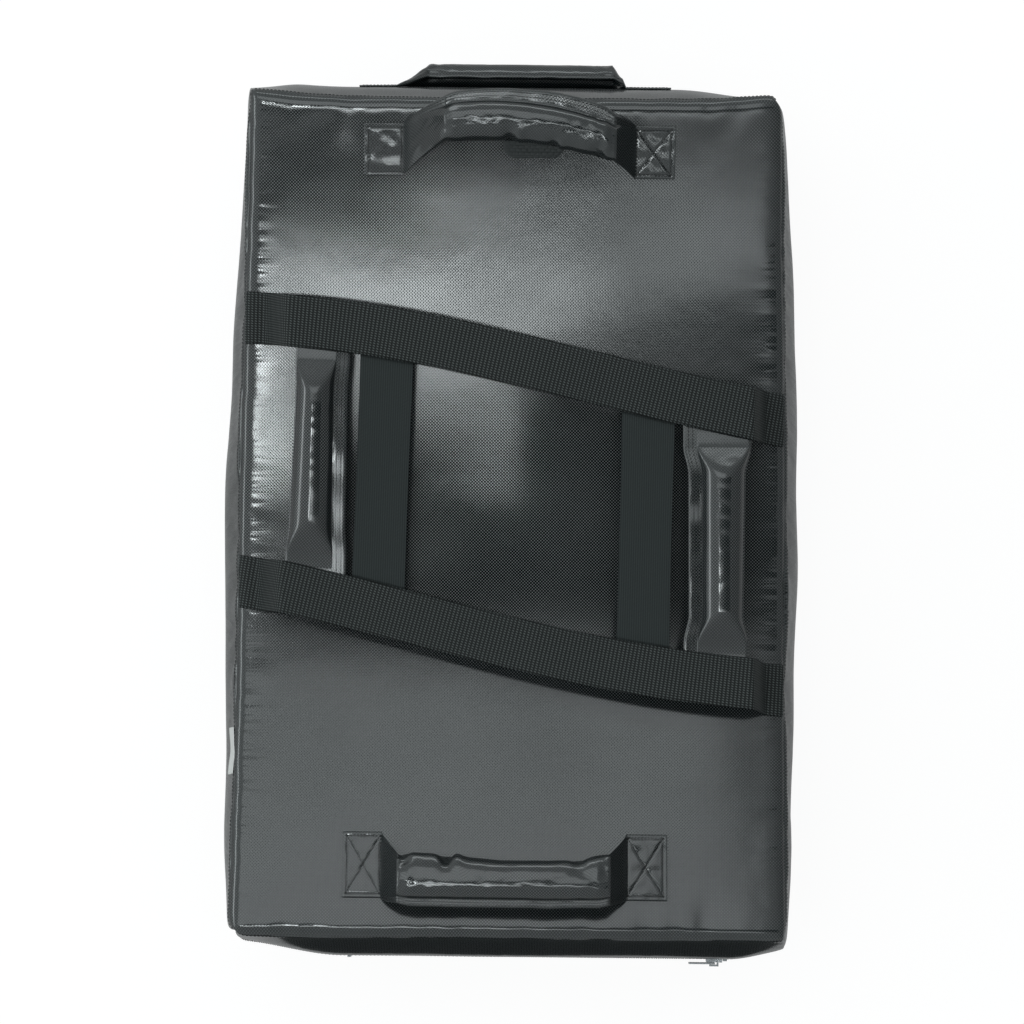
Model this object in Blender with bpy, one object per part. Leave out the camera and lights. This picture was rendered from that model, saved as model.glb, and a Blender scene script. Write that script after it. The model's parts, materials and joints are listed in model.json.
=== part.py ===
"""A curved strike shield: a foam pad in a coated fabric cover, with an arm harness and carry handles.

The shield lies on its convex striking face with the concave holder's side up. +X runs across it, +Y
along it towards the end that has a carry handle, and +Z out of the holder's side. The origin is the
middle of the flat that the striking face rests on. Lengths are metres.
"""

import math

import bmesh
import bpy
from mathutils import Vector

# Padded body
THICKNESS = 0.150
BACK_RADIUS = 1.253
STRIKE_RADIUS = BACK_RADIUS + THICKNESS
BACK_HALF_LENGTH = 0.338
STRIKE_HALF_LENGTH = 0.360
WIDTH = 0.4455
TOP_TAPER = 0.022
TAPER_POWER = 1.4
SIDE_BULGE = 0.018
TOP_BULGE = 0.013
BOTTOM_BULGE = 0.0136
LONG_FADE_START = 0.60
SHORT_FADE_START = 0.80
LONG_FADE_SHARE = 0.12
SHORT_FADE_SHARE = 0.45
TOP_CORNER_REACH = 0.0055
EDGE_DROP = 0.005
EDGE_ROLL = 0.014
# How far each corner is drawn in, by its side (-1 left, 1 right) and its end (-1 bottom, 1 top)
CORNER_PULLS = {(-1, 1): 0.001, (1, 1): 0.006, (-1, -1): 0.006, (1, -1): 0.002}
FOAM_CORNER_TUCK = 0.003
COVER = 0.0012
GAP = 0.0003
FOAM_GAP = 0.0004
MITRE_TRIM = 0.00022

# How far through the thickness each foam sheet reaches, 0 at the striking face and 1 at the back
STRIKE_FOAM_TOP = 0.20
CORE_FOAM_TOP = 0.80

# Where the faces bend: across, along and through the body
ROLL_ACROSS = 2.0 * EDGE_ROLL / WIDTH
ROLL_ALONG = EDGE_ROLL / BACK_HALF_LENGTH
LENGTH_STEPS = 11
ZIP_LOW = 0.36
ZIP_MIDDLE = 0.40
ZIP_HIGH = 0.44
W_LINES = [0.0, STRIKE_FOAM_TOP, ZIP_LOW, ZIP_HIGH, 0.60, CORE_FOAM_TOP, 1.0]

# Arm harness
WEBBING_WIDTH = 0.042
WEBBING_THICKNESS = 0.0018
STRAP_LIFT = 0.042
STRAP_INSET = 0.0015
LEFT_RAMP_END = 0.041
RIGHT_RAMP_END = 0.031
UPPER_STRAP_LINE = [
    (-0.222, 0.162),
    (-0.170, 0.160),
    (-0.010, 0.134),
    (0.150, 0.097),
    (0.222, 0.0836),
]
LOWER_STRAP_LINE = [
    (-0.223, -0.0515),
    (-0.169, -0.0615),
    (-0.009, -0.1005),
    (0.150, -0.130),
    (0.222, -0.136),
]
ELASTIC_WIDTH = 0.042
ELASTIC_THICKNESS = 0.0012
ELASTIC_LINES = {"left_elastic": (-0.1010, -0.1060), "right_elastic": (0.1080, 0.1055)}
UNDER_STRAP = STRAP_LIFT - 0.0005
SEWN_LENGTH = 0.030

# Hand grips: x of the outer edge and of the flange's free edge at the upper and the lower end, and how
# far both edges are drawn in between the ends
GRIP_FLANGE = 0.011
GRIP_HALF_HEIGHT = 0.0125
GRIP_END_HALF_HEIGHT = 0.0014
GRIP_CLEAR = 0.006
GRIPS = {
    "left_grip": {"outer": (-0.1735, -0.1808), "flange": (-0.1303, -0.1318), "waist": 0.0015},
    "right_grip": {"outer": (0.1905, 0.1895), "flange": (0.1358, 0.1377), "waist": 0.0042},
}

# Carry handles: x of the two tabs' edges, the strip's width, x of the roll's two ends, the tabs' middle
# line along the panel, and how far the roll lies from that line at its start, its middle and its end
HANDLE_SHEET = 0.0030
HANDLE_HALF_WIDTH = 0.0155
HANDLE_FLANGE = 0.0070
FLANGE_HALF_HEIGHT = 0.0014
PIVOT_LIFT = 0.0020
ROLL_END_SHARE = 0.86
LEG_FOOT_LIFT = 0.0012
UPPER_HANDLE = {
    "tabs": (-0.1215, -0.0905, 0.0955, 0.1275),
    "strip": 0.042,
    "tube": (-0.056, 0.078),
    "along": 0.2975,
    "shift": (0.0225, 0.0232, 0.0080),
    "lift": 0.0330,
    "half_high": 0.0120,
    "flange": 1.0,
}
LOWER_HANDLE = {
    "tabs": (-0.1330, -0.1020, 0.0950, 0.1277),
    "strip": 0.053,
    "tube": (-0.087, 0.080),
    "along": -0.2810,
    "shift": (-0.0160, -0.0160, -0.0160),
    "lift": 0.0330,
    "half_high": 0.0120,
    "flange": -1.0,
}
END_HANDLE = {
    "tabs": (-0.1250, -0.0940, 0.0915, 0.1225),
    "strip": 0.042,
    "tube": (-0.070, 0.078),
    "shift": (-0.0236, -0.0236, -0.0236),
    "lift": 0.0102,
    "half_high": 0.0112,
    "flange": 1.0,
}
END_TAB_LOW = 0.33
END_TAB_HIGH = 0.61

# Woven patch under the upper handle
PATCH_LEFT = -0.0100
PATCH_RIGHT = 0.0385
PATCH_LOW = 0.2920
PATCH_HIGH = 0.3220
PATCH_CUT = 0.0060
PATCH_THICKNESS = 0.0015

# Care label in the left seam
LABEL_LOW = -0.208
LABEL_HIGH = -0.170
LABEL_TOP = 0.985
LABEL_BOTTOM = 0.875
LABEL_THICKNESS = 0.0005

# Zip
TEETH_HALF_WIDTH = 0.0026
TEETH_HEIGHT = 0.0013
SLIDER_X = 0.172
SLIDER_LENGTH = 0.013
SLIDER_FRONT_HALF_WIDTH = 0.0052
SLIDER_BACK_HALF_WIDTH = 0.0044
SLIDER_PLATE = 0.0018
BRIDGE_LENGTH = 0.0075
BRIDGE_HALF_WIDTH = 0.0011
BRIDGE_HEIGHT = 0.0036
BRIDGE_SINK = 0.0006
WINDOW_LENGTH = 0.0047
WINDOW_HEIGHT = 0.0022
PULLER_LENGTH = 0.021
PULLER_HALF_WIDTH = 0.0030
PULLER_THICKNESS = 0.0012
PULLER_BAR = 0.0012
PULLER_SLOT = 0.0050
PULLER_SLOT_HALF_WIDTH = 0.0017
STOP_LENGTH = 0.0030
STOP_WALL = 0.0008
OPEN_STOP_X = -0.1325

RING_POINTS = 14
SPLIT_WAY = Vector((1.0, 1.3, 1.7))


def clear_scene():
    """Starts from an empty scene."""
    for old in list(bpy.data.objects):
        bpy.data.objects.remove(old, do_unlink=True)


def material(name, colour, roughness, metallic=0.0):
    """A Principled material for one piece."""
    made = bpy.data.materials.new(name + "_material")
    made.use_nodes = True
    shader = made.node_tree.nodes["Principled BSDF"]
    shader.inputs["Base Color"].default_value = (*colour, 1.0)
    shader.inputs["Roughness"].default_value = roughness
    shader.inputs["Metallic"].default_value = metallic
    return made


def coated_fabric(name):
    return material(name, (0.030, 0.036, 0.036), 0.32)


def foam(name):
    return material(name, (0.55, 0.54, 0.50), 0.90)


def webbing(name):
    return material(name, (0.020, 0.023, 0.023), 0.75)


def elastic(name):
    return material(name, (0.038, 0.044, 0.044), 0.85)


def zip_metal(name):
    return material(name, (0.60, 0.60, 0.60), 0.30, 1.0)


def white_cloth(name):
    return material(name, (0.85, 0.85, 0.83), 0.80)


def add_object(name, mesh_build, look, pivot=None):
    """Turns a bmesh into a named object whose origin is its pivot."""
    origin = Vector(pivot) if pivot is not None else Vector((0.0, 0.0, 0.0))
    bmesh.ops.translate(mesh_build, verts=mesh_build.verts, vec=-origin)
    bmesh.ops.recalc_face_normals(mesh_build, faces=mesh_build.faces)
    mesh = bpy.data.meshes.new(name)
    mesh_build.to_mesh(mesh)
    mesh_build.free()
    mesh.shade_smooth()
    mesh.set_sharp_from_angle(angle=math.radians(35.0))
    made = bpy.data.objects.new(name, mesh)
    made.location = origin
    made.data.materials.append(look(name))
    bpy.context.scene.collection.objects.link(made)
    return made


def add_quad(build, a, b, c, d):
    """Two triangles, split through the corner that lies furthest along SPLIT_WAY.

    Pieces that lie on one another are split alike, so a twisted face never pokes through the next one.
    """
    corners = (a, b, c, d)
    furthest = max(range(4), key=lambda k: corners[k].co.dot(SPLIT_WAY))
    if furthest in (0, 2):
        halves = ((a, b, c), (a, c, d))
    else:
        halves = ((a, b, d), (b, c, d))
    for half in halves:
        build.faces.new(half)


def layered_solid(layers):
    """A closed block from a stack of point grids: skins on the first and last, walls along their edges."""
    build = bmesh.new()
    rows = len(layers[0])
    columns = len(layers[0][0])
    verts = [[[build.verts.new(p) for p in row] for row in layer] for layer in layers]
    for r in range(rows - 1):
        for c in range(columns - 1):
            for grid in (verts[0], verts[-1]):
                add_quad(build, grid[r][c], grid[r][c + 1], grid[r + 1][c + 1], grid[r + 1][c])
    edge = [(r, 0) for r in range(rows)]
    edge += [(rows - 1, c) for c in range(1, columns)]
    edge += [(r, columns - 1) for r in range(rows - 2, -1, -1)]
    edge += [(0, c) for c in range(columns - 2, 0, -1)]
    for low, high in zip(verts[:-1], verts[1:]):
        for (r0, c0), (r1, c1) in zip(edge, edge[1:] + edge[:1]):
            add_quad(build, low[r0][c0], low[r1][c1], high[r1][c1], high[r0][c0])
    return build


def lofted_solid(rings):
    """A closed body through matching rings of points, with a flat cap on each end."""
    build = bmesh.new()
    verts = [[build.verts.new(p) for p in ring] for ring in rings]
    count = len(rings[0])
    for near, far in zip(verts[:-1], verts[1:]):
        for k in range(count):
            n = (k + 1) % count
            add_quad(build, near[k], near[n], far[n], far[k])
    build.faces.new(verts[0])
    build.faces.new(verts[-1])
    return build


def sleeve_solid(outer, inner):
    """A tube with a wall, open at both ends, from matching outer and inner rings."""
    build = bmesh.new()
    out = [[build.verts.new(p) for p in ring] for ring in outer]
    hole = [[build.verts.new(p) for p in ring] for ring in inner]
    count = len(outer[0])
    for k in range(count):
        n = (k + 1) % count
        for wall in (out, hole):
            for near, far in zip(wall[:-1], wall[1:]):
                add_quad(build, near[k], near[n], far[n], far[k])
        for end in (0, -1):
            add_quad(build, out[end][k], out[end][n], hole[end][n], hole[end][k])
    return build


def block(frame, low, high):
    """A box between two corners given in a local frame."""
    xs, ys, zs = zip(low, high)
    return layered_solid([[[frame(x, y, z) for x in xs] for y in ys] for z in zs])


def lerp(a, b, share):
    return a + (b - a) * share


def smooth(share):
    share = min(1.0, max(0.0, share))
    return share * share * (3.0 - 2.0 * share)


def lines(roll, inner):
    """Places from -1 to 1 where a face bends: the rolled edge zones, and the inner lines between them."""
    positive = [1.0 - roll, 1.0 - 0.5 * roll, 1.0]
    return [-p for p in reversed(positive)] + inner + positive


U_LINES = lines(ROLL_ACROSS, [-SHORT_FADE_START, -LONG_FADE_START, LONG_FADE_START, SHORT_FADE_START])
STEP = (1.0 - ROLL_ALONG) / LENGTH_STEPS
V_LINES = lines(ROLL_ALONG, [STEP * k for k in range(2 - LENGTH_STEPS, LENGTH_STEPS, 2)])
BASE_HEIGHT = STRIKE_RADIUS * math.cos(STEP * STRIKE_HALF_LENGTH / STRIKE_RADIUS)


def edge_share(place, roll):
    """0 over the flat field, rising to 1 at the seam."""
    return max(0.0, (abs(place) - (1.0 - roll)) / roll) ** 2


def half_width(v):
    return 0.5 * (WIDTH - TOP_TAPER * max(0.0, v) ** TAPER_POWER)


def end_bulge(u, v):
    """How far an end gusset swells. It fades early towards the top right and the bottom left corner."""
    if u * v > 0.0:
        start, share = LONG_FADE_START, LONG_FADE_SHARE
    else:
        start, share = SHORT_FADE_START, SHORT_FADE_SHARE
    full = TOP_BULGE if v > 0.0 else BOTTOM_BULGE
    return full * lerp(1.0, share, smooth((abs(u) - start) / (1.0 - start)))


def corner_pull(u, v):
    return CORNER_PULLS[(1 if u > 0.0 else -1, 1 if v > 0.0 else -1)]


def corner_reach(u, v):
    """How far the top corners stand out past the middle of the top seam."""
    beyond = max(0.0, (abs(u) - LONG_FADE_START) / (1.0 - LONG_FADE_START))
    return TOP_CORNER_REACH * beyond * beyond * max(0.0, v) ** 6


def side_bulge(v):
    return SIDE_BULGE * (1.0 - 0.6 * v * v)


def shell_point(u, v, w, inset=0.0, lift=0.0, tuck=0.0):
    """A point of the padded body: u across, v along (-1 to 1), w from the strike face (0) to the back (1).

    inset goes in from the outer skin, lift goes out of the holder's side, and tuck rounds the corners.
    """
    side = edge_share(u, ROLL_ACROSS)
    end = edge_share(v, ROLL_ALONG)
    drop = EDGE_DROP * min(1.0, math.hypot(side, end))
    pull = (corner_pull(u, v) + tuck) * side * end + inset
    radius = lerp(STRIKE_RADIUS - drop - inset, BACK_RADIUS + drop + inset, w) - lift
    belly = math.sin(math.pi * w)
    reach = lerp(STRIKE_HALF_LENGTH / STRIKE_RADIUS, BACK_HALF_LENGTH / BACK_RADIUS, w)
    angle = v * (reach + (end_bulge(u, v) * belly + corner_reach(u, v) - pull) / radius)
    x = u * (half_width(v) + side_bulge(v) * belly - pull)
    return Vector((x, radius * math.sin(angle), BASE_HEIGHT - radius * math.cos(angle)))


def back_point(x, along, lift=0.0):
    """A point above the back panel, at x across and a distance along it, following its flat facets."""
    v = along / BACK_HALF_LENGTH
    place = min(len(V_LINES) - 2, sum(1 for line in V_LINES[1:-1] if line <= v))
    low, high = V_LINES[place], V_LINES[place + 1]
    ends = [shell_point(x / half_width(line), line, 1.0, lift=lift) for line in (low, high)]
    return lerp(ends[0], ends[1], (v - low) / (high - low))


def gusset_grid(end, us, ws, inset):
    return [[shell_point(u, end, w, inset) for u in us] for w in ws]


def cut_lines(low, high, every):
    """low, high and the lines between them."""
    return [low] + [line for line in every if low < line < high] + [high]


def make_faces():
    """The back and strike panels, mitred to the gussets with a hair of clearance."""
    trim_u = 1.0 - 2.0 * MITRE_TRIM / WIDTH
    trim_v = 1.0 - MITRE_TRIM / BACK_HALF_LENGTH
    us = [max(-trim_u, min(trim_u, u)) for u in U_LINES]
    vs = [max(-trim_v, min(trim_v, v)) for v in V_LINES]
    for name, w in (("strike_panel", 0.0), ("back_panel", 1.0)):
        layers = [[[shell_point(u, v, w, inset) for u in us] for v in vs] for inset in (COVER, 0.0)]
        add_object(name, layered_solid(layers), coated_fabric)


def make_side_gussets():
    trim_w = MITRE_TRIM / THICKNESS
    trim_v = 1.0 - MITRE_TRIM / BACK_HALF_LENGTH
    ws = [max(trim_w, min(1.0 - trim_w, w)) for w in W_LINES]
    vs = [max(-trim_v, min(trim_v, v)) for v in V_LINES]
    for name, u in (("left_side_gusset", -1.0), ("right_side_gusset", 1.0)):
        layers = [[[shell_point(u, v, w, inset) for w in ws] for v in vs] for inset in (COVER, 0.0)]
        add_object(name, layered_solid(layers), coated_fabric)


def make_end_strip(name, end, low, high, outward, look=coated_fabric):
    """A strip of an end gusset from one height to another, standing out by a given amount."""
    trim_u = 1.0 - 2.0 * MITRE_TRIM / WIDTH
    us = [max(-trim_u, min(trim_u, u)) for u in U_LINES]
    ws = cut_lines(low, high, W_LINES)
    layers = [gusset_grid(end, us, ws, inset) for inset in (COVER, -outward)]
    add_object(name, layered_solid(layers), look)


def make_end_gussets_and_zip():
    """The top gusset, and the bottom gusset in two strips with tapes and teeth between them."""
    trim = MITRE_TRIM / THICKNESS
    slit = 0.5 * GAP / THICKNESS
    teeth = TEETH_HALF_WIDTH / THICKNESS
    make_end_strip("top_end_gusset", 1.0, trim, 1.0 - trim, 0.0)
    make_end_strip("bottom_gusset_strike_strip", -1.0, trim, ZIP_LOW - slit, 0.0)
    make_end_strip("bottom_gusset_back_strip", -1.0, ZIP_HIGH + slit, 1.0 - trim, 0.0)
    tooth_low, tooth_high = ZIP_MIDDLE - teeth, ZIP_MIDDLE + teeth
    make_end_strip("zip_strike_tape", -1.0, ZIP_LOW + slit, tooth_low - slit, 0.0, webbing)
    make_end_strip("zip_back_tape", -1.0, tooth_high + slit, ZIP_HIGH - slit, 0.0, webbing)
    make_end_strip("zip_strike_teeth", -1.0, tooth_low + slit, ZIP_MIDDLE - slit, TEETH_HEIGHT, webbing)
    make_end_strip("zip_back_teeth", -1.0, ZIP_MIDDLE + slit, tooth_high - slit, TEETH_HEIGHT, webbing)


def make_foams():
    """Three foam sheets that fill the cover, one on the other."""
    inset = COVER + FOAM_GAP
    sheets = (
        ("strike_foam", 0.0, STRIKE_FOAM_TOP),
        ("core_foam", STRIKE_FOAM_TOP, CORE_FOAM_TOP),
        ("back_foam", CORE_FOAM_TOP, 1.0),
    )
    for name, low, high in sheets:
        layers = []
        for w in cut_lines(low, high, W_LINES):
            lift = 0.0
            if w == low and w > 0.0:
                lift = 0.5 * GAP
            if w == high and w < 1.0:
                lift = -0.5 * GAP
            tuck = FOAM_CORNER_TUCK
            layers.append([[shell_point(u, v, w, inset, lift, tuck) for u in U_LINES] for v in V_LINES])
        add_object(name, layered_solid(layers), foam)


def through(points, x):
    """The smooth curve through a few points, at x."""
    total = 0.0
    for i, (xi, yi) in enumerate(points):
        weight = 1.0
        for j, (xj, _) in enumerate(points):
            if j != i:
                weight *= (x - xj) / (xi - xj)
        total += yi * weight
    return total


def strap_stations(line):
    """Places along a strap as (x, distance along the shield, height above the panel)."""
    left = -half_width(through(line, -0.222) / BACK_HALF_LENGTH)
    right = half_width(through(line, 0.222) / BACK_HALF_LENGTH)
    lying = [STRAP_INSET, 0.5 * EDGE_ROLL, EDGE_ROLL]
    places = []
    for x_edge, inward, ramp_end in ((left, 1.0, LEFT_RAMP_END), (right, -1.0, RIGHT_RAMP_END)):
        side = [(x_edge + inward * d, GAP) for d in lying]
        for share in (0.2, 0.4, 0.6, 0.8, 1.0):
            x = x_edge + inward * lerp(EDGE_ROLL, ramp_end, share)
            side.append((x, lerp(GAP, STRAP_LIFT, smooth(share))))
        places.append(side)
    first = places[0][-1][0]
    last = places[1][-1][0]
    middle = [(lerp(first, last, share), STRAP_LIFT) for share in (0.2, 0.4, 0.6, 0.8)]
    stations = places[0] + middle + list(reversed(places[1]))
    return [(x, through(line, x), lift) for x, lift in stations]


def strap_slant(line, x):
    """How fast a strap's middle moves along the shield as x grows."""
    return (through(line, x + 0.001) - through(line, x - 0.001)) / 0.002


def make_strap(name, line):
    """A flat webbing strap, lying in both side seams and standing off the panel between them."""
    layers = []
    for thickness in (0.0, WEBBING_THICKNESS):
        rows = []
        for x, along, lift in strap_stations(line):
            slope = strap_slant(line, x)
            reach = 0.5 * WEBBING_WIDTH * math.sqrt(1.0 + slope * slope)
            rows.append([back_point(x, along + side * reach, lift + thickness) for side in (-1.0, 1.0)])
        layers.append(rows)
    add_object(name, layered_solid(layers), webbing)


def strap_edge(line, x, side):
    """Where a strap's edge crosses x: side 1 is its far edge and -1 its near edge."""
    slope = strap_slant(line, x)
    return through(line, x) + side * 0.5 * WEBBING_WIDTH * math.sqrt(1.0 + slope * slope)


def make_elastic(name, upper_x, lower_x):
    """A flat elastic band drawn straight between the undersides of both straps."""
    layers = []
    for lift in (UNDER_STRAP - ELASTIC_THICKNESS, UNDER_STRAP):
        rows = []
        for side in (-0.5, 0.5):
            high_x = upper_x + side * ELASTIC_WIDTH
            low_x = lower_x + side * ELASTIC_WIDTH
            top = strap_edge(UPPER_STRAP_LINE, high_x, -1.0)
            bottom = strap_edge(LOWER_STRAP_LINE, low_x, 1.0)
            places = [(high_x, top + SEWN_LENGTH), (high_x, top - 0.002), (low_x, bottom + 0.002)]
            places.append((low_x, bottom - SEWN_LENGTH))
            rows.append([back_point(x, along, lift) for x, along in places])
        layers.append(rows)
    add_object(name, layered_solid(layers), elastic)


def ring(half_wide, half_high, flange, flange_half_high):
    """A rolled profile with a stitched flange at its +side: (along, out) pairs about the roll's middle."""
    points = []
    for k in range(RING_POINTS):
        turn = math.tau * (k + 0.5) / RING_POINTS
        points.append((half_wide * math.cos(turn), half_high * math.sin(turn)))
    return points + [(half_wide + flange, -flange_half_high), (half_wide + flange, flange_half_high)]


def inner_ring(half_wide, half_high, wall):
    """The hollow inside a rolled profile, matching ring() point for point."""
    points = ring(half_wide - wall, half_high - wall, 0.0, 0.0006)
    return points[:-2] + [(0.995 * (half_wide - wall), -0.0004), (0.995 * (half_wide - wall), 0.0004)]


def make_grip(name, outer, flange, waist):
    """A hand grip: a sleeve that bulges between two flat ends, its foam core, and the two sewn ends."""
    sign = 1.0 if flange[0] > outer[0] else -1.0
    width = [abs(flange[k] - outer[k]) for k in (0, 1)]
    wide_half = [0.5 * (w - GRIP_FLANGE) for w in width]
    centre_x = [outer[k] + sign * wide_half[k] for k in (0, 1)]
    edge_x = [(outer[k], flange[k]) for k in (0, 1)]
    top = min(strap_edge(UPPER_STRAP_LINE, x, -1.0) for x in edge_x[0]) - GRIP_CLEAR
    bottom = max(strap_edge(LOWER_STRAP_LINE, x, 1.0) for x in edge_x[1]) + GRIP_CLEAR
    sewn_lift = UNDER_STRAP - GRIP_END_HALF_HEIGHT
    high = back_point(centre_x[0], top, sewn_lift)
    low = back_point(centre_x[1], bottom, sewn_lift)
    axis = (high - low).normalized()
    across = Vector((sign, 0.0, 0.0))
    across = (across - axis * across.dot(axis)).normalized()
    up = axis.cross(across)
    if up.z < 0.0:
        up = -up
    shares = (0.0, 0.07, 0.18, 0.5, 0.82, 0.93, 1.0)
    fullness = (0.0, 0.45, 0.85, 1.0, 0.85, 0.45, 0.0)
    outer_rings, inner_rings, core_rings = [], [], []
    for share, full in zip(shares, fullness):
        middle = lerp(high, low, share)
        half_wide = lerp(wide_half[0], wide_half[1], share) - waist * full
        half_high = lerp(GRIP_END_HALF_HEIGHT, GRIP_HALF_HEIGHT, full)
        section = ring(half_wide, half_high, GRIP_FLANGE, GRIP_END_HALF_HEIGHT)
        hollow = inner_ring(half_wide, half_high, min(COVER, 0.5 * half_high))
        outer_rings.append([middle + across * a + up * b for a, b in section])
        inner_rings.append([middle + across * a + up * b for a, b in hollow])
        if 0.4 < full:
            filling = inner_ring(half_wide, half_high, COVER + GAP)
            core_rings.append([middle + across * a + up * b for a, b in filling])
    pivot = lerp(high, low, 0.5)
    add_object(name + "_sleeve", sleeve_solid(outer_rings, inner_rings), coated_fabric, pivot)
    add_object(name + "_core", lofted_solid(core_rings), foam, pivot)
    ends = (("upper", UPPER_STRAP_LINE, 1.0, 0), ("lower", LOWER_STRAP_LINE, -1.0, 1))
    for end, line, side, place in ends:
        start = (high, low)[place] + axis * side * GAP
        layers = []
        for height in (-GRIP_END_HALF_HEIGHT, GRIP_END_HALF_HEIGHT):
            rows = []
            for x in edge_x[place]:
                near = start + across * (x - centre_x[place]) * sign + up * height
                inside = strap_edge(line, x, -side) + side * 0.6 * SEWN_LENGTH
                rows.append([near, back_point(x, inside, sewn_lift + height)])
            layers.append(rows)
        add_object(name + "_" + end + "_end", layered_solid(layers), coated_fabric)


def local_frame(origin, tangent, normal):
    """Places given as x across, t along the tangent and n out along the normal."""
    return lambda x, t, n: origin + Vector((x, 0.0, 0.0)) + tangent * t + normal * n


def handle_shift(handle, share):
    """How far the roll lies from its tabs' middle line: a bow through the roll's ends and its middle."""
    return through(list(zip((0.0, 0.5, 1.0), handle["shift"])), share)


def handle_tube(name, frame, handle, pivot):
    """The rolled middle of a carry handle: a wrap with a stitched flange, round a foam roll."""
    left, right = handle["tube"]
    shares = (0.0, 0.12, 0.35, 0.65, 0.88, 1.0)
    fullness = (ROLL_END_SHARE, 0.96, 1.0, 1.0, 0.96, ROLL_END_SHARE)
    outer_rings, inner_rings, core_rings = [], [], []
    for share, full in zip(shares, fullness):
        x = lerp(left, right, share)
        half_wide = HANDLE_HALF_WIDTH * full
        half_high = handle["half_high"] * full
        profiles = (
            (outer_rings, ring(half_wide, half_high, HANDLE_FLANGE, FLANGE_HALF_HEIGHT), x),
            (inner_rings, inner_ring(half_wide, half_high, COVER), x),
            (core_rings, inner_ring(half_wide, half_high, COVER + GAP), x),
        )
        for rings, section, at in profiles:
            shift = handle_shift(handle, share)
            shifted = [(shift + handle["flange"] * a, handle["lift"] + b) for a, b in section]
            rings.append([frame(at, t, n) for t, n in shifted])
    add_object(name + "_wrap", sleeve_solid(outer_rings, inner_rings), coated_fabric, pivot)
    add_object(name + "_core", lofted_solid(core_rings), foam, pivot)


def handle_legs(name, frame, handle):
    """The two free stretches of strip between the sewn tabs and the roll, which twist as the handle swings."""
    tabs = handle["tabs"]
    sides = (("left", 1.0, 0, tabs[1] + GAP), ("right", -1.0, -1, tabs[2] - GAP))
    for side, away, place, fold in sides:
        tube = handle["tube"][place]
        shift = handle["shift"][place]
        rings = []
        for share in (0.0, 0.3, 0.65, 1.0):
            x = lerp(fold, tube - away * GAP, share)
            rise = share ** 0.8
            half_wide = lerp(0.5 * handle["strip"], ROLL_END_SHARE * HANDLE_HALF_WIDTH, share)
            half_high = lerp(0.5 * HANDLE_SHEET, ROLL_END_SHARE * handle["half_high"], share ** 2)
            section = ring(half_wide, half_high, HANDLE_FLANGE * share, FLANGE_HALF_HEIGHT)
            t_middle = shift * rise
            n_middle = lerp(0.5 * HANDLE_SHEET + LEG_FOOT_LIFT, handle["lift"], rise)
            rings.append([frame(x, t_middle + handle["flange"] * a, n_middle + b) for a, b in section])
        add_object(name + "_" + side + "_leg", lofted_solid(rings), coated_fabric)


def make_panel_handle(name, handle):
    """A carry handle sewn to the back panel."""
    half_strip = 0.5 * handle["strip"]
    angle = handle["along"] / BACK_RADIUS
    tangent = Vector((0.0, math.cos(angle), math.sin(angle)))
    normal = Vector((0.0, -math.sin(angle), math.cos(angle)))
    frame = local_frame(back_point(0.0, handle["along"]), tangent, normal)
    handle_tube(name, frame, handle, frame(0.0, 0.0, PIVOT_LIFT))
    handle_legs(name, frame, handle)
    low, high = handle["along"] - half_strip, handle["along"] + half_strip
    steps = cut_lines(low, high, [BACK_HALF_LENGTH * v for v in V_LINES])
    tabs = handle["tabs"]
    for side, x_low, x_high in (("left", tabs[0], tabs[1]), ("right", tabs[2], tabs[3])):
        layers = []
        for lift in (GAP, GAP + HANDLE_SHEET):
            layers.append([[back_point(x, along, lift) for x in (x_low, x_high)] for along in steps])
        add_object(name + "_" + side + "_tab", layered_solid(layers), coated_fabric)


def make_end_handle():
    """The carry handle sewn to the top end gusset."""
    handle = END_HANDLE
    low = shell_point(0.0, 1.0, ZIP_HIGH)
    high = shell_point(0.0, 1.0, 0.60)
    tangent = (high - low).normalized()
    normal = Vector((1.0, 0.0, 0.0)).cross(tangent)
    if normal.y < 0.0:
        normal = -normal
    middle = lerp(shell_point(0.0, 1.0, END_TAB_LOW), shell_point(0.0, 1.0, END_TAB_HIGH), 0.5)
    origin = low + tangent * (middle - low).dot(tangent)
    frame = local_frame(origin, tangent, normal)
    handle_tube("end_handle", frame, handle, frame(0.0, 0.0, PIVOT_LIFT))
    handle_legs("end_handle", frame, handle)
    tabs = handle["tabs"]
    steps = cut_lines(END_TAB_LOW, END_TAB_HIGH, W_LINES)
    for side, x_low, x_high in (("left", tabs[0], tabs[1]), ("right", tabs[2], tabs[3])):
        layers = []
        for inset in (-GAP, -GAP - HANDLE_SHEET):
            us = [x / half_width(1.0) for x in (x_low, x_high)]
            layers.append(gusset_grid(1.0, us, steps, inset))
        add_object("end_handle_" + side + "_tab", layered_solid(layers), coated_fabric)


def make_woven_patch():
    """A flat woven patch with its two lower corners cut off."""
    bends = [BACK_HALF_LENGTH * v for v in V_LINES] + [PATCH_LOW + PATCH_CUT]
    steps = cut_lines(PATCH_LOW, PATCH_HIGH, bends)
    layers = []
    for lift in (GAP, GAP + PATCH_THICKNESS):
        rows = []
        for along in steps:
            cut = max(0.0, PATCH_LOW + PATCH_CUT - along)
            rows.append([back_point(x, along, lift) for x in (PATCH_LEFT + cut, PATCH_RIGHT - cut)])
        layers.append(rows)
    add_object("woven_patch", layered_solid(layers), webbing)


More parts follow.
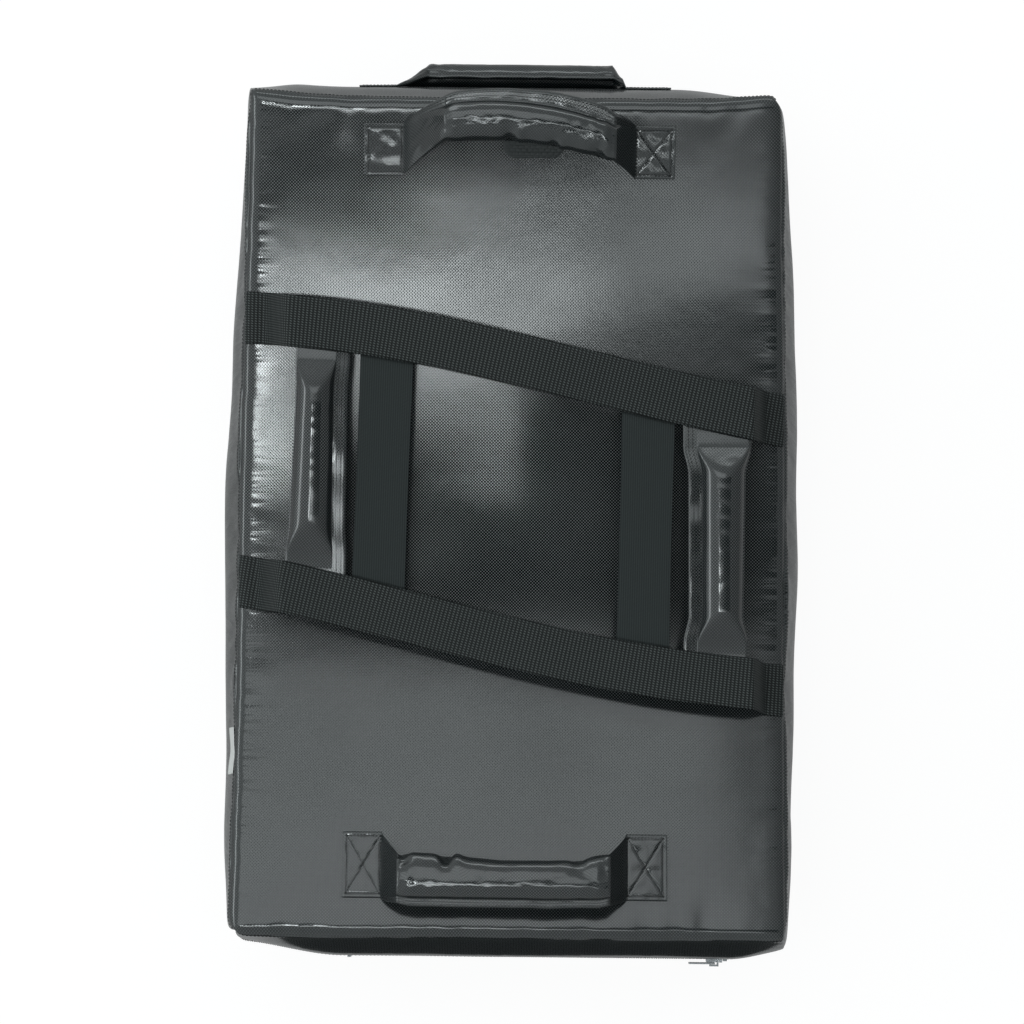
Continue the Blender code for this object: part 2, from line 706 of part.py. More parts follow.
def make_care_label():
    """A blank label that hangs from the left seam over the gusset."""
    vs = cut_lines(LABEL_LOW / BACK_HALF_LENGTH, LABEL_HIGH / BACK_HALF_LENGTH, V_LINES)
    layers = []
    for inset in (-GAP, -GAP - LABEL_THICKNESS):
        layers.append([[shell_point(-1.0, v, w, inset) for w in (LABEL_BOTTOM, LABEL_TOP)] for v in vs])
    pivot = shell_point(-1.0, 0.5 * (vs[0] + vs[-1]), LABEL_TOP, -GAP - LABEL_THICKNESS)
    add_object("care_label", layered_solid(layers), white_cloth, pivot)


def zip_frame(x):
    """Places about the zip: along it, across it towards the back, and out from the gusset."""
    low = shell_point(0.0, -1.0, ZIP_LOW)
    high = shell_point(0.0, -1.0, ZIP_HIGH)
    across = (high - low).normalized()
    out = Vector((1.0, 0.0, 0.0)).cross(across)
    middle = lerp(low, high, (ZIP_MIDDLE - ZIP_LOW) / (ZIP_HIGH - ZIP_LOW))
    return lambda a, b, n: middle + Vector((x + a, 0.0, 0.0)) + across * b + out * n


def join_solid(target, tool_build, operation):
    """Joins a second shape to an object, or cuts it away."""
    mesh = bpy.data.meshes.new("tool")
    bmesh.ops.recalc_face_normals(tool_build, faces=tool_build.faces)
    tool_build.to_mesh(mesh)
    tool_build.free()
    tool = bpy.data.objects.new(target.name + "_tool", mesh)
    tool.hide_render = True
    tool.display_type = "WIRE"
    bpy.context.scene.collection.objects.link(tool)
    change = target.modifiers.new(operation.lower(), "BOOLEAN")
    change.operation = operation
    change.object = tool
    change.solver = "EXACT"


def make_zip_slider(frame):
    """A slider that straddles the teeth, with a bridge for its puller."""
    low = TEETH_HEIGHT + GAP
    high = low + SLIDER_PLATE
    rail_low = GAP
    inside = TEETH_HALF_WIDTH + GAP
    rings = []
    half_length = 0.5 * SLIDER_LENGTH
    widths = (SLIDER_BACK_HALF_WIDTH, SLIDER_BACK_HALF_WIDTH, SLIDER_FRONT_HALF_WIDTH)
    for along, outside in zip((-half_length, 0.0, half_length), widths):
        section = [(-outside, rail_low), (-inside, rail_low), (-inside, low), (inside, low)]
        section += [(inside, rail_low), (outside, rail_low), (outside, high), (-outside, high)]
        rings.append([frame(along, b, n) for b, n in section])
    slider = add_object("zip_slider", lofted_solid(rings), zip_metal, frame(0.0, 0.0, 0.0))
    half_bridge = 0.5 * BRIDGE_LENGTH
    foot = (-half_bridge, -BRIDGE_HALF_WIDTH, high - BRIDGE_SINK)
    top = (half_bridge, BRIDGE_HALF_WIDTH, high + BRIDGE_HEIGHT)
    join_solid(slider, block(frame, foot, top), "UNION")
    half_window = 0.5 * WINDOW_LENGTH
    wide = 2.0 * BRIDGE_HALF_WIDTH
    window = block(frame, (-half_window, -wide, high), (half_window, wide, high + WINDOW_HEIGHT))
    join_solid(slider, window, "DIFFERENCE")
    return high + 0.5 * WINDOW_HEIGHT


def make_zip_puller(frame, bar_height):
    """A flat puller whose end bar passes through the slider's bridge."""
    low = bar_height - 0.5 * PULLER_THICKNESS
    high = bar_height + 0.5 * PULLER_THICKNESS
    bar_end = 0.5 * PULLER_BAR
    plate = block(frame, (-PULLER_LENGTH, -PULLER_HALF_WIDTH, low), (bar_end, PULLER_HALF_WIDTH, high))
    puller = add_object("zip_puller", plate, zip_metal, frame(0.0, 0.0, bar_height))
    slot_start = -bar_end - PULLER_SLOT
    slot = block(
        frame,
        (slot_start, -PULLER_SLOT_HALF_WIDTH, low - GAP),
        (-bar_end, PULLER_SLOT_HALF_WIDTH, high + GAP),
    )
    join_solid(puller, slot, "DIFFERENCE")


def make_zip_stops():
    """A small metal stop over the teeth at each end of the slider's run."""
    low = TEETH_HEIGHT + GAP
    inside = TEETH_HALF_WIDTH + GAP
    outside = inside + STOP_WALL
    gap_to_slider = 0.0010
    reach = SLIDER_X + 0.5 * SLIDER_LENGTH + gap_to_slider
    for name, start in (("zip_closed_stop", reach), ("zip_open_stop", OPEN_STOP_X)):
        frame = zip_frame(start)
        section = [(-outside, GAP), (-inside, GAP), (-inside, low), (inside, low)]
        section += [(inside, GAP), (outside, GAP), (outside, low + STOP_WALL), (-outside, low + STOP_WALL)]
        rings = [[frame(along, b, n) for b, n in section] for along in (0.0, STOP_LENGTH)]
        add_object(name, lofted_solid(rings), zip_metal)


def build_shield():
    clear_scene()
    make_faces()
    make_side_gussets()
    make_end_gussets_and_zip()
    make_foams()
    make_strap("upper_strap", UPPER_STRAP_LINE)
    make_strap("lower_strap", LOWER_STRAP_LINE)
    for name, (upper_x, lower_x) in ELASTIC_LINES.items():
        make_elastic(name, upper_x, lower_x)
    for name, edges in GRIPS.items():
        make_grip(name, edges["outer"], edges["flange"], edges["waist"])
    make_panel_handle("upper_handle", UPPER_HANDLE)
    make_panel_handle("lower_handle", LOWER_HANDLE)
    make_end_handle()
    make_woven_patch()
    make_care_label()
    slider_frame = zip_frame(SLIDER_X)
    bar_height = make_zip_slider(slider_frame)
    make_zip_puller(slider_frame, bar_height)
    make_zip_stops()


build_shield()
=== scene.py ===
# %% [markdown]
# # A curved strike shield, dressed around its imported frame
# The shield is a foam pad in a glossy coated cover. It lies on its convex striking face, so the picture
# looks down on the concave side that the holder straps to an arm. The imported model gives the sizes, the
# bodies and the joints. Each step below makes one piece or one finish on top of that frame.

# %% Load the frame
import json
import math
import bmesh
import bpy
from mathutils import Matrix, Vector, noise
from mathutils.bvhtree import BVHTree

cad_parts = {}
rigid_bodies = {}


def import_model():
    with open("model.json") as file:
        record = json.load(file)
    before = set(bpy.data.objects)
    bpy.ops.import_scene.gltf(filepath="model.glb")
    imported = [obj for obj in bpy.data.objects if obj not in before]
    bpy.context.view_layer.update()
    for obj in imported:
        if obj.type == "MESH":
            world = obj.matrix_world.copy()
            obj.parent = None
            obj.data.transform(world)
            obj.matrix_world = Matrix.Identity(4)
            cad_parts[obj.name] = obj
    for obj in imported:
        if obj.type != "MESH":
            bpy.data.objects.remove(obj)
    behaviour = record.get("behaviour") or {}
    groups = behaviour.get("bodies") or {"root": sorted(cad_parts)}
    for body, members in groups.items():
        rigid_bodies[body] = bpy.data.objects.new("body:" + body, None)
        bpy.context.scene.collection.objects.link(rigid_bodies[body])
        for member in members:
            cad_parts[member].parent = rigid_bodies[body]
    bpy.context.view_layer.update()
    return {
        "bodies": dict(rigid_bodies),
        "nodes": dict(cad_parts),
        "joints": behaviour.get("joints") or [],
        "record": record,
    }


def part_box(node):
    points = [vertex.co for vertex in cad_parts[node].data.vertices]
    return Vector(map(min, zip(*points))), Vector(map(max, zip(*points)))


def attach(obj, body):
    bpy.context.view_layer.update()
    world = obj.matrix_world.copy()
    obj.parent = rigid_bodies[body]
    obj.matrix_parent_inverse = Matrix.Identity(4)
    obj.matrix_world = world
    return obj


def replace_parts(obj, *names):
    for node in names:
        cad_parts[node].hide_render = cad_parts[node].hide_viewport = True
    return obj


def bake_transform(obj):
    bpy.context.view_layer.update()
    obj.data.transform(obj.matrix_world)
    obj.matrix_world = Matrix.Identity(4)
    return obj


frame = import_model()

# %% [markdown]
# ## The camera
# A product picture like this one is taken from straight above, with the camera level. The lens looks
# straight down at a point a little towards the shield's lower end, and the frame is then moved up the
# picture with lens shift, which keeps the sides of the shield from leaning. The shield is turned a
# little, so the camera turns instead.

# %% Camera
PICTURE_SIZE = 1024
FOCAL_PIXELS = 2454.0
AXIS_PIXEL_Y = 625.0
CAMERA_PLACE = (0.001, -0.085, 2.15)
PICTURE_TURN = 0.65
NEAREST_SEEN = 0.05


def placed(name, data):
    """A new object in the scene."""
    made = bpy.data.objects.new(name, data)
    bpy.context.scene.collection.objects.link(made)
    return made


lens = bpy.data.cameras.new("photo_camera")
lens.sensor_width = 36.0
lens.lens = FOCAL_PIXELS * lens.sensor_width / PICTURE_SIZE
lens.shift_y = (AXIS_PIXEL_Y - 0.5 * PICTURE_SIZE) / PICTURE_SIZE
lens.clip_start = NEAREST_SEEN
camera = placed("photo_camera", lens)
camera.location = CAMERA_PLACE
camera.rotation_euler = (0.0, 0.0, math.radians(PICTURE_TURN))
bpy.context.scene.camera = camera
print("camera:", round(lens.lens, 1), "mm lens,", CAMERA_PLACE[2], "m up")

# %% [markdown]
# ## Building node trees
# Every finish here is a node tree. Small helpers keep the trees readable: one adds a node and fills its
# sockets by name, others make a node that is often used, and a maths chain is written as nested calls. A
# socket that holds the same number everywhere gets that number directly, with no node before it.

# %% Helpers for node trees
def plug(tree, node, socket, value):
    """Links an output to an input, or writes a plain value in it."""
    target = node.inputs[socket]
    if isinstance(value, bpy.types.NodeSocket):
        tree.links.new(value, target)
    else:
        target.default_value = value


def fill(tree, node, **sockets):
    """Fills a node's inputs by name, from numbers or from other nodes' outputs."""
    for name, value in sockets.items():
        plug(tree, node, name.replace("_", " "), value)


def add_node(tree, kind, settings=None, **sockets):
    """A node with its properties set and its inputs filled."""
    made = tree.nodes.new(kind)
    for name, value in (settings or {}).items():
        setattr(made, name, value)
    fill(tree, made, **sockets)
    return made


def maths(tree, operation, first, second=0.0, third=0.0):
    """One Math node: returns its output."""
    made = add_node(tree, "ShaderNodeMath", {"operation": operation})
    for index, value in enumerate((first, second, third)):
        plug(tree, made, index, value)
    return made.outputs[0]


def remap(tree, value, low, high, to_low, to_high):
    """A value stretched from one range to another."""
    ends = {"From_Min": low, "From_Max": high, "To_Min": to_low, "To_Max": to_high}
    return add_node(tree, "ShaderNodeMapRange", Value=value, **ends).outputs["Result"]


def mix_colour(tree, share, first, second):
    """A colour between two others."""
    made = add_node(tree, "ShaderNodeMix", {"data_type": "RGBA"})
    for index, value in ((0, share), (6, first), (7, second)):
        plug(tree, made, index, value)
    return made.outputs[2]


def noise_value(tree, place, scale, detail=2.0, roughness=0.5):
    made = add_node(tree, "ShaderNodeTexNoise", Vector=place, Scale=scale, Detail=detail, Roughness=roughness)
    return made.outputs["Fac"]


def attribute(tree, name):
    return add_node(tree, "ShaderNodeAttribute", {"attribute_name": name}).outputs["Fac"]


def cloth_place(tree):
    """The piece's own cloth map: metres along and across the cloth."""
    return add_node(tree, "ShaderNodeUVMap", {"uv_map": "cloth"}).outputs["UV"]


def object_place(tree):
    return add_node(tree, "ShaderNodeTexCoord").outputs["Object"]


def stretched(tree, place, scale):
    return add_node(tree, "ShaderNodeMapping", Vector=place, Scale=scale).outputs["Vector"]


def split(tree, place):
    """The X and Y of a place."""
    parts = add_node(tree, "ShaderNodeSeparateXYZ", Vector=place)
    return parts.outputs["X"], parts.outputs["Y"]


def new_material(name):
    made = bpy.data.materials.new(name)
    made.use_nodes = True
    return made, made.node_tree, made.node_tree.nodes["Principled BSDF"]


def show_either(tree, share, first, second, output):
    """Ends a tree: its output is the first shader where share is 0, and the second where it is 1."""
    chosen = tree.nodes.new("ShaderNodeMixShader")
    for index, value in enumerate((share, first.outputs[0], second.outputs[0])):
        plug(tree, chosen, index, value)
    add_node(tree, output, Surface=chosen.outputs[0])


print("node helpers ready")

# %% [markdown]
# ## The studio: floor, tent, lamps and cards
# The studio is a white floor inside a pale tent that is brighter on the left than on the right. To the
# camera the floor glows white, and a share of its own shading stays in, so a shadow still shows. A mirror
# sees a quarter of that glow, because the shield's sides would otherwise show far lighter than they do in
# the photograph. A glossy black cover has almost no colour of its own, so what it mirrors decides how it
# looks: soft lamps overhead make the pale areas of the panel, and matt black cards make its dark ones.

# %% Floor
FLOOR_SIZE = 9.0
FLOOR_GLOW = 0.92
FLOOR_MIRRORED = 0.25
FLOOR_COLOUR = (0.35, 0.35, 0.35, 1.0)
FLOOR_PALE = (0.12, 0.12, 0.12, 1.0)
WHITE = (1.0, 1.0, 1.0, 1.0)


def floor_material():
    made, tree, _ = new_material("studio_floor")
    tree.nodes.clear()
    path = tree.nodes.new("ShaderNodeLightPath")
    mirrored = maths(tree, "MULTIPLY", path.outputs["Is Glossy Ray"], FLOOR_MIRRORED)
    seen = maths(tree, "MAXIMUM", path.outputs["Is Camera Ray"], mirrored)
    seen = maths(tree, "MAXIMUM", seen, path.outputs["Is Transmission Ray"])
    matt = add_node(tree, "ShaderNodeBsdfDiffuse", Color=FLOOR_COLOUR)
    pale = add_node(tree, "ShaderNodeBsdfDiffuse", Color=FLOOR_PALE)
    glow = add_node(tree, "ShaderNodeEmission", Color=WHITE, Strength=FLOOR_GLOW)
    shown = tree.nodes.new("ShaderNodeAddShader")
    plug(tree, shown, 0, pale.outputs[0])
    plug(tree, shown, 1, glow.outputs[0])
    show_either(tree, seen, matt, shown, "ShaderNodeOutputMaterial")
    return made


def finished(build, name):
    """A built mesh, under its name."""
    mesh = bpy.data.meshes.new(name)
    build.to_mesh(mesh)
    build.free()
    return mesh


def flat_sheet(name, look, place, size, turn=0.0):
    """A flat rectangle of the studio."""
    build = bmesh.new()
    bmesh.ops.create_grid(build, x_segments=1, y_segments=1, size=0.5)
    sheet = placed(name, finished(build, name))
    sheet.data.materials.append(look)
    sheet.location = place
    sheet.scale = (*size, 1.0)
    sheet.rotation_euler.z = math.radians(turn)
    return sheet


flat_sheet("studio_floor", floor_material(), (0.0, 0.0, 0.0), (FLOOR_SIZE, FLOOR_SIZE))
print("floor:", FLOOR_SIZE, "m square")

# %% World, lamps and cards
WORLD_LEFT = 0.80
WORLD_RIGHT = 0.30
LIGHT_COLOUR = (0.93, 1.0, 1.01)
LAMPS_UP = 2.3
LAMP_AIM = Vector((0.0, 0.0, 0.1))
LAMPS = {
    "upper_left_softbox": dict(place=(-0.23, -0.175, LAMPS_UP), size=(0.30, 0.10), power=0.75, turn=-5.0),
    "upper_middle_softbox": dict(place=(0.03, -0.165, LAMPS_UP), size=(0.24, 0.11), power=0.40, turn=-5.0),
    "upper_right_softbox": dict(place=(0.30, -0.24, LAMPS_UP), size=(0.32, 0.20), power=0.30, turn=-8.0),
    "middle_softbox": dict(place=(-0.13, -0.06, LAMPS_UP), size=(0.24, 0.07), power=0.40, turn=0.0),
    "left_softbox": dict(place=(-0.47, -0.045, LAMPS_UP), size=(0.18, 0.15), power=1.45, turn=0.0),
    "lower_softbox": dict(place=(-0.30, 0.73, LAMPS_UP), size=(1.40, 0.90), power=4.0, turn=0.0),
    "left_wall": dict(place=(-2.4, 0.0, 1.4), size=(2.0, 0.5), power=9.0, turn=None),
    "back_wall": dict(place=(0.0, 2.6, 1.3), size=(2.4, 0.5), power=9.0, turn=None),
}
BLACK = 0.004
CARDS_UP = 2.32
DARK_CARDS = {
    "centre_card": dict(place=(0.54, 0.07, CARDS_UP), size=(1.90, 0.33), turn=0.0, shade=BLACK),
    "upper_left_card": dict(place=(-0.37, -0.305, CARDS_UP), size=(0.76, 0.14), turn=-6.0, shade=BLACK),
    "upper_middle_card": dict(place=(0.02, -0.365, CARDS_UP), size=(0.38, 0.14), turn=0.0, shade=BLACK),
    "floor_card": dict(place=(0.0, -0.64, 0.004), size=(0.70, 0.44), turn=0.0, shade=0.06),
}


def make_world():
    world = bpy.data.worlds.new("studio_world")
    world.use_nodes = True
    tree = world.node_tree
    tree.nodes.clear()
    way = tree.nodes.new("ShaderNodeTexCoord")
    level = remap(tree, split(tree, way.outputs["Generated"])[0], -1.0, 1.0, WORLD_LEFT, WORLD_RIGHT)
    room = add_node(tree, "ShaderNodeBackground", Color=(*LIGHT_COLOUR, 1.0), Strength=level)
    white = add_node(tree, "ShaderNodeBackground", Color=WHITE, Strength=1.0)
    path = tree.nodes.new("ShaderNodeLightPath")
    show_either(tree, path.outputs["Is Camera Ray"], room, white, "ShaderNodeOutputWorld")
    bpy.context.scene.world = world


def make_lamp(name, place, size, power, turn):
    """A rectangular softbox. It faces straight down, turned by some degrees, or else faces the shield."""
    lamp = bpy.data.lights.new(name, "AREA")
    lamp.shape = "RECTANGLE"
    lamp.size = size[0]
    lamp.size_y = size[1]
    lamp.energy = power
    lamp.color = LIGHT_COLOUR
    made = placed(name, lamp)
    made.location = place
    if turn is None:
        made.rotation_euler = (LAMP_AIM - Vector(place)).to_track_quat("-Z", "Y").to_euler()
    else:
        made.rotation_euler.z = math.radians(turn)
    made.visible_camera = False


def make_card(name, place, size, turn, shade):
    """A matt black card that only mirrors see: it casts no shadow and takes no light away."""
    look, tree, shader = new_material(name)
    fill(tree, shader, Base_Color=(shade, shade, shade, 1.0), Specular_IOR_Level=0.0)
    card = flat_sheet(name, look, place, size, turn)
    card.visible_camera = False
    card.visible_shadow = False
    card.visible_diffuse = False


make_world()
for name, facts in DARK_CARDS.items():
    make_card(name, **facts)
for name, facts in LAMPS.items():
    make_lamp(name, **facts)
bpy.context.scene.view_settings.view_transform = "Standard"
print("lamps:", ", ".join(LAMPS))

# %% [markdown]
# ## Coated cloth
# The cover is a woven scrim under a thin glossy coating. Seen close, the weave is a fine checker of
# raised squares: one wave across times one wave along. The pattern reads the piece's own cloth map, which
# is in metres, so it has the same pitch on every piece. The coating is glossy on the crowns and duller in
# the gaps, where it is thin, and the crowns are painted a little paler than the gaps: a painted highlight
# on the raised squares, with painted shade between them. Together these make the checker show. It has
# dull patches too, and it fades a little where it is creased.

# %% Coated cloth
WEAVE_PITCH = 0.00128
WEAVE_HEIGHT = 0.000014
CLOTH_DARK = (0.0020, 0.0048, 0.0056, 1.0)
# The paler colour serves both real wear by the seams and the painted highlight on the weave's crowns.
CLOTH_FADED_AND_LIT = (0.0120, 0.0165, 0.0170, 1.0)
CROWN_PAINTED_LIGHT = 0.30
GAP_DULLNESS = 0.42
GAP_LOW = 0.22
GAP_HIGH = 0.46
COATING_INDEX = 1.52
COVER_GLOSS = 0.07
HANDLE_GLOSS = 0.10
FADED_DULLNESS = 0.08
PATCH_DEPTH = 0.0003
PATCH_SCALE = 9.0
SCUFF_SCALE = 65.0
GRAIN_SCALE = 2600.0
GRAIN_SHARE = 0.04
GLOSS_SPREAD = (-0.03, 0.05)
PLEAT_HEIGHT = 0.0004
PLEATS = {"beside_side": ((14.0, 80.0, 14.0), -3.0), "beside_end": ((45.0, 12.0, 12.0), -1.0)}


def plain_weave(tree, place, pitch):
    """Raised squares in a checker: 0 in the gaps to 1 on the crowns."""
    turns = [maths(tree, "MULTIPLY", part, math.pi / pitch) for part in split(tree, place)]
    waves = [maths(tree, "SINE", turn) for turn in turns]
    return maths(tree, "MULTIPLY_ADD", maths(tree, "MULTIPLY", *waves), 0.5, 0.5)


def bumped(tree, shader, height, distance, after=None):
    """Feeds a height into the shader as a bump of a real depth in metres."""
    bump = add_node(tree, "ShaderNodeBump", Height=height, Distance=distance, Strength=1.0)
    if after is not None:
        plug(tree, bump, "Normal", after)
    plug(tree, shader, "Normal", bump.outputs["Normal"])
    return bump.outputs["Normal"]


def pleats(tree, spot):
    """Fine folds that run square to the nearest seam, by the closeness that the cover stores."""
    folds = 0.0
    for name, (scale, share) in PLEATS.items():
        close = attribute(tree, name)
        wave = noise_value(tree, stretched(tree, spot, scale), 1.0, 2.0, 0.55)
        ridge = maths(tree, "ABSOLUTE", maths(tree, "MULTIPLY_ADD", wave, 2.0, -1.0))
        folds = maths(tree, "MULTIPLY_ADD", maths(tree, "MULTIPLY", ridge, share), close, folds)
    return folds


def coated_cloth(name, gloss, pleated=False):
    made, tree, shader = new_material(name)
    place = cloth_place(tree)
    spot = object_place(tree)
    weave = plain_weave(tree, place, WEAVE_PITCH)
    grain = noise_value(tree, place, GRAIN_SCALE, 2.0)
    patches = noise_value(tree, spot, PATCH_SCALE, 4.0)
    scuffs = noise_value(tree, spot, SCUFF_SCALE, 5.0, 0.65)
    faded = maths(tree, "MULTIPLY", attribute(tree, "wear"), remap(tree, scuffs, 0.35, 0.75, 0.2, 1.0))
    # Painted highlight and shade: the weave's crowns get a paler colour than its gaps. The faded part is real
    # wear.
    share = maths(tree, "MULTIPLY_ADD", weave, CROWN_PAINTED_LIGHT, faded)
    colour = mix_colour(tree, share, CLOTH_DARK, CLOTH_FADED_AND_LIT)
    dull = remap(tree, patches, 0.3, 0.7, gloss + GLOSS_SPREAD[0], gloss + GLOSS_SPREAD[1])
    dull = maths(tree, "MULTIPLY_ADD", faded, FADED_DULLNESS, dull)
    gap = remap(tree, weave, GAP_LOW, GAP_HIGH, 1.0, 0.0)
    dull = maths(tree, "MULTIPLY_ADD", gap, GAP_DULLNESS, dull)
    fill(tree, shader, Base_Color=colour, Roughness=dull, IOR=COATING_INDEX, Specular_IOR_Level=1.0)
    normal = bumped(tree, shader, patches, PATCH_DEPTH)
    if pleated:
        normal = bumped(tree, shader, pleats(tree, spot), PLEAT_HEIGHT, normal)
    bumped(tree, shader, maths(tree, "MULTIPLY_ADD", grain, GRAIN_SHARE, weave), WEAVE_HEIGHT, normal)
    return made


cover_cloth = coated_cloth("cover_cloth", COVER_GLOSS, pleated=True)
handle_cloth = coated_cloth("handle_cloth", HANDLE_GLOSS)
print("coated cloth: weave pitch", 1000.0 * WEAVE_PITCH, "mm")

# %% [markdown]
# ## Webbing, elastic, thread and the small finishes
# Webbing has ribs across its width, made in the mesh, and each rib shows a row of yarn crossings, made
# here: their glints are painted highlights, a pale colour on the crossings. The elastic has fine ribs
# along it. Thread, zip tape and the blank label are matt cloth. The zip's metal is plated, with a fine
# brushed grain, and its coil is smooth nylon.

# %% Webbing and elastic
RIB_PITCH = 0.0031
YARN_PITCH = 0.0020
YARN_SLANT = 1.1
KNOT_POWER = 2.6
WEBBING_DARK = (0.0015, 0.0022, 0.0022, 1.0)
# The pale colour of the painted highlights on the yarn crossings.
WEBBING_PAINTED_HIGHLIGHT = (0.1250, 0.1420, 0.1400, 1.0)
WEBBING_DULLNESS = 0.62
WEBBING_BUMP = 0.00030
ELASTIC_RIB = 0.0018
ELASTIC_WEFT = 0.0011
ELASTIC_DARK = (0.0140, 0.0178, 0.0180, 1.0)
ELASTIC_LIGHT = (0.0370, 0.0440, 0.0440, 1.0)
ELASTIC_DULLNESS = 0.80
ELASTIC_BUMP = 0.00012
YARN_SHINE = 0.25
WEBBING_FUZZ_SCALE = 1800.0
ELASTIC_FUZZ_SCALE = 1500.0
CLOTH_FUZZ_SCALE = 900.0


def webbing_material():
    """Rows of yarn crossings, with painted highlights: the cloth map's X runs along the strap and its Y
    across it.
    """
    made, tree, shader = new_material("harness_webbing")
    place = cloth_place(tree)
    along, across = split(tree, place)
    crown = maths(tree, "ABSOLUTE", maths(tree, "SINE", maths(tree, "MULTIPLY", along, math.pi / RIB_PITCH)))
    row = maths(tree, "FLOOR", maths(tree, "DIVIDE", along, RIB_PITCH))
    turn = maths(tree, "MULTIPLY", across, math.tau / YARN_PITCH)
    slanted = maths(tree, "MULTIPLY_ADD", along, YARN_SLANT * math.pi / RIB_PITCH, turn)
    yarn = maths(tree, "SINE", maths(tree, "MULTIPLY_ADD", row, math.pi, slanted))
    knot = maths(tree, "MULTIPLY", crown, maths(tree, "MULTIPLY_ADD", yarn, 0.5, 0.5))
    fuzz = noise_value(tree, place, WEBBING_FUZZ_SCALE, 3.0, 0.6)
    # Painted highlight: the yarn crossings on the rib crowns are coloured pale in place of their glints.
    lit = maths(tree, "MULTIPLY_ADD", fuzz, 0.10, maths(tree, "POWER", knot, KNOT_POWER))
    colour = mix_colour(tree, lit, WEBBING_DARK, WEBBING_PAINTED_HIGHLIGHT)
    fill(tree, shader, Base_Color=colour, Roughness=WEBBING_DULLNESS, Specular_IOR_Level=YARN_SHINE)
    bumped(tree, shader, maths(tree, "MULTIPLY_ADD", fuzz, 0.2, knot), WEBBING_BUMP)
    return made


def elastic_material():
    made, tree, shader = new_material("elastic_band")
    place = cloth_place(tree)
    along, across = split(tree, place)
    rib = maths(tree, "SINE", maths(tree, "MULTIPLY", across, math.tau / ELASTIC_RIB))
    weft = maths(tree, "SINE", maths(tree, "MULTIPLY", along, math.tau / ELASTIC_WEFT))
    fuzz = noise_value(tree, place, ELASTIC_FUZZ_SCALE, 3.0, 0.6)
    lit = maths(tree, "MULTIPLY_ADD", rib, 0.28, maths(tree, "MULTIPLY_ADD", weft, 0.10, 0.35))
    colour = mix_colour(tree, maths(tree, "MULTIPLY_ADD", fuzz, 0.35, lit), ELASTIC_DARK, ELASTIC_LIGHT)
    fill(tree, shader, Base_Color=colour, Roughness=ELASTIC_DULLNESS, Specular_IOR_Level=YARN_SHINE)
    bumped(tree, shader, maths(tree, "MULTIPLY_ADD", weft, 0.5, fuzz), ELASTIC_BUMP)
    return made


webbing_look = webbing_material()
elastic_look = elastic_material()
print("webbing ribs every", 1000.0 * RIB_PITCH, "mm")

# %% Thread, tape, label, patch, nylon and metal
METAL_DARK = (0.20, 0.21, 0.22, 1.0)
METAL_LIGHT = (0.42, 0.43, 0.44, 1.0)
NYLON_DARK = (0.006, 0.007, 0.007, 1.0)
NYLON_LIGHT = (0.016, 0.018, 0.018, 1.0)
BRUSHED = (60.0, 2500.0, 2500.0)


def matt_cloth(name, colour, roughness, pitch, depth):
    """A plain woven cloth with no coating."""
    made, tree, shader = new_material(name)
    spot = object_place(tree)
    weave = plain_weave(tree, spot, pitch)
    fuzz = noise_value(tree, spot, CLOTH_FUZZ_SCALE, 3.0, 0.6)
    dark = (*[0.7 * c for c in colour], 1.0)
    fill(tree, shader, Base_Color=mix_colour(tree, fuzz, dark, (*colour, 1.0)), Roughness=roughness)
    bumped(tree, shader, maths(tree, "MULTIPLY_ADD", fuzz, 0.4, weave), depth)
    return made


def zip_metal_material():
    made, tree, shader = new_material("zip_metal")
    spot = object_place(tree)
    grain = noise_value(tree, stretched(tree, spot, BRUSHED), 1.0, 3.0)
    stain = noise_value(tree, spot, 300.0, 3.0)
    fill(tree, shader, Base_Color=mix_colour(tree, stain, METAL_DARK, METAL_LIGHT), Metallic=1.0)
    fill(tree, shader, Roughness=remap(tree, grain, 0.3, 0.7, 0.16, 0.34))
    bumped(tree, shader, grain, 0.00003)
    return made


def nylon_material():
    made, tree, shader = new_material("zip_coil")
    stain = noise_value(tree, object_place(tree), 400.0, 3.0)
    fill(tree, shader, Base_Color=mix_colour(tree, stain, NYLON_DARK, NYLON_LIGHT))
    fill(tree, shader, Roughness=remap(tree, stain, 0.3, 0.7, 0.28, 0.42))
    bumped(tree, shader, stain, 0.00002)
    return made


thread_look = matt_cloth("sewing_thread", (0.005, 0.006, 0.006), 0.45, 0.0003, 0.00006)
tape_look = matt_cloth("zip_tape_cloth", (0.012, 0.014, 0.014), 0.75, 0.0005, 0.00010)
label_look = matt_cloth("label_cloth", (0.86, 0.86, 0.84), 0.60, 0.0004, 0.00004)
patch_look = matt_cloth("patch_cloth", (0.036, 0.042, 0.042), 0.50, 0.0006, 0.00010)
metal_look = zip_metal_material()
nylon_look = nylon_material()
print("small finishes: thread, tape, label, patch, metal and nylon")

# %% [markdown]
# ## The shape of the padded body
# The body is a slab bent round the wearer's arm. Three numbers name any place on it: u across and v
# along, each from -1 to 1, and w from the striking face at 0 to the holder's side at 1. The walls swell
# between their seams, and the faces roll down over the last centimetre and a half before a seam. The
# formula is the frame's own.

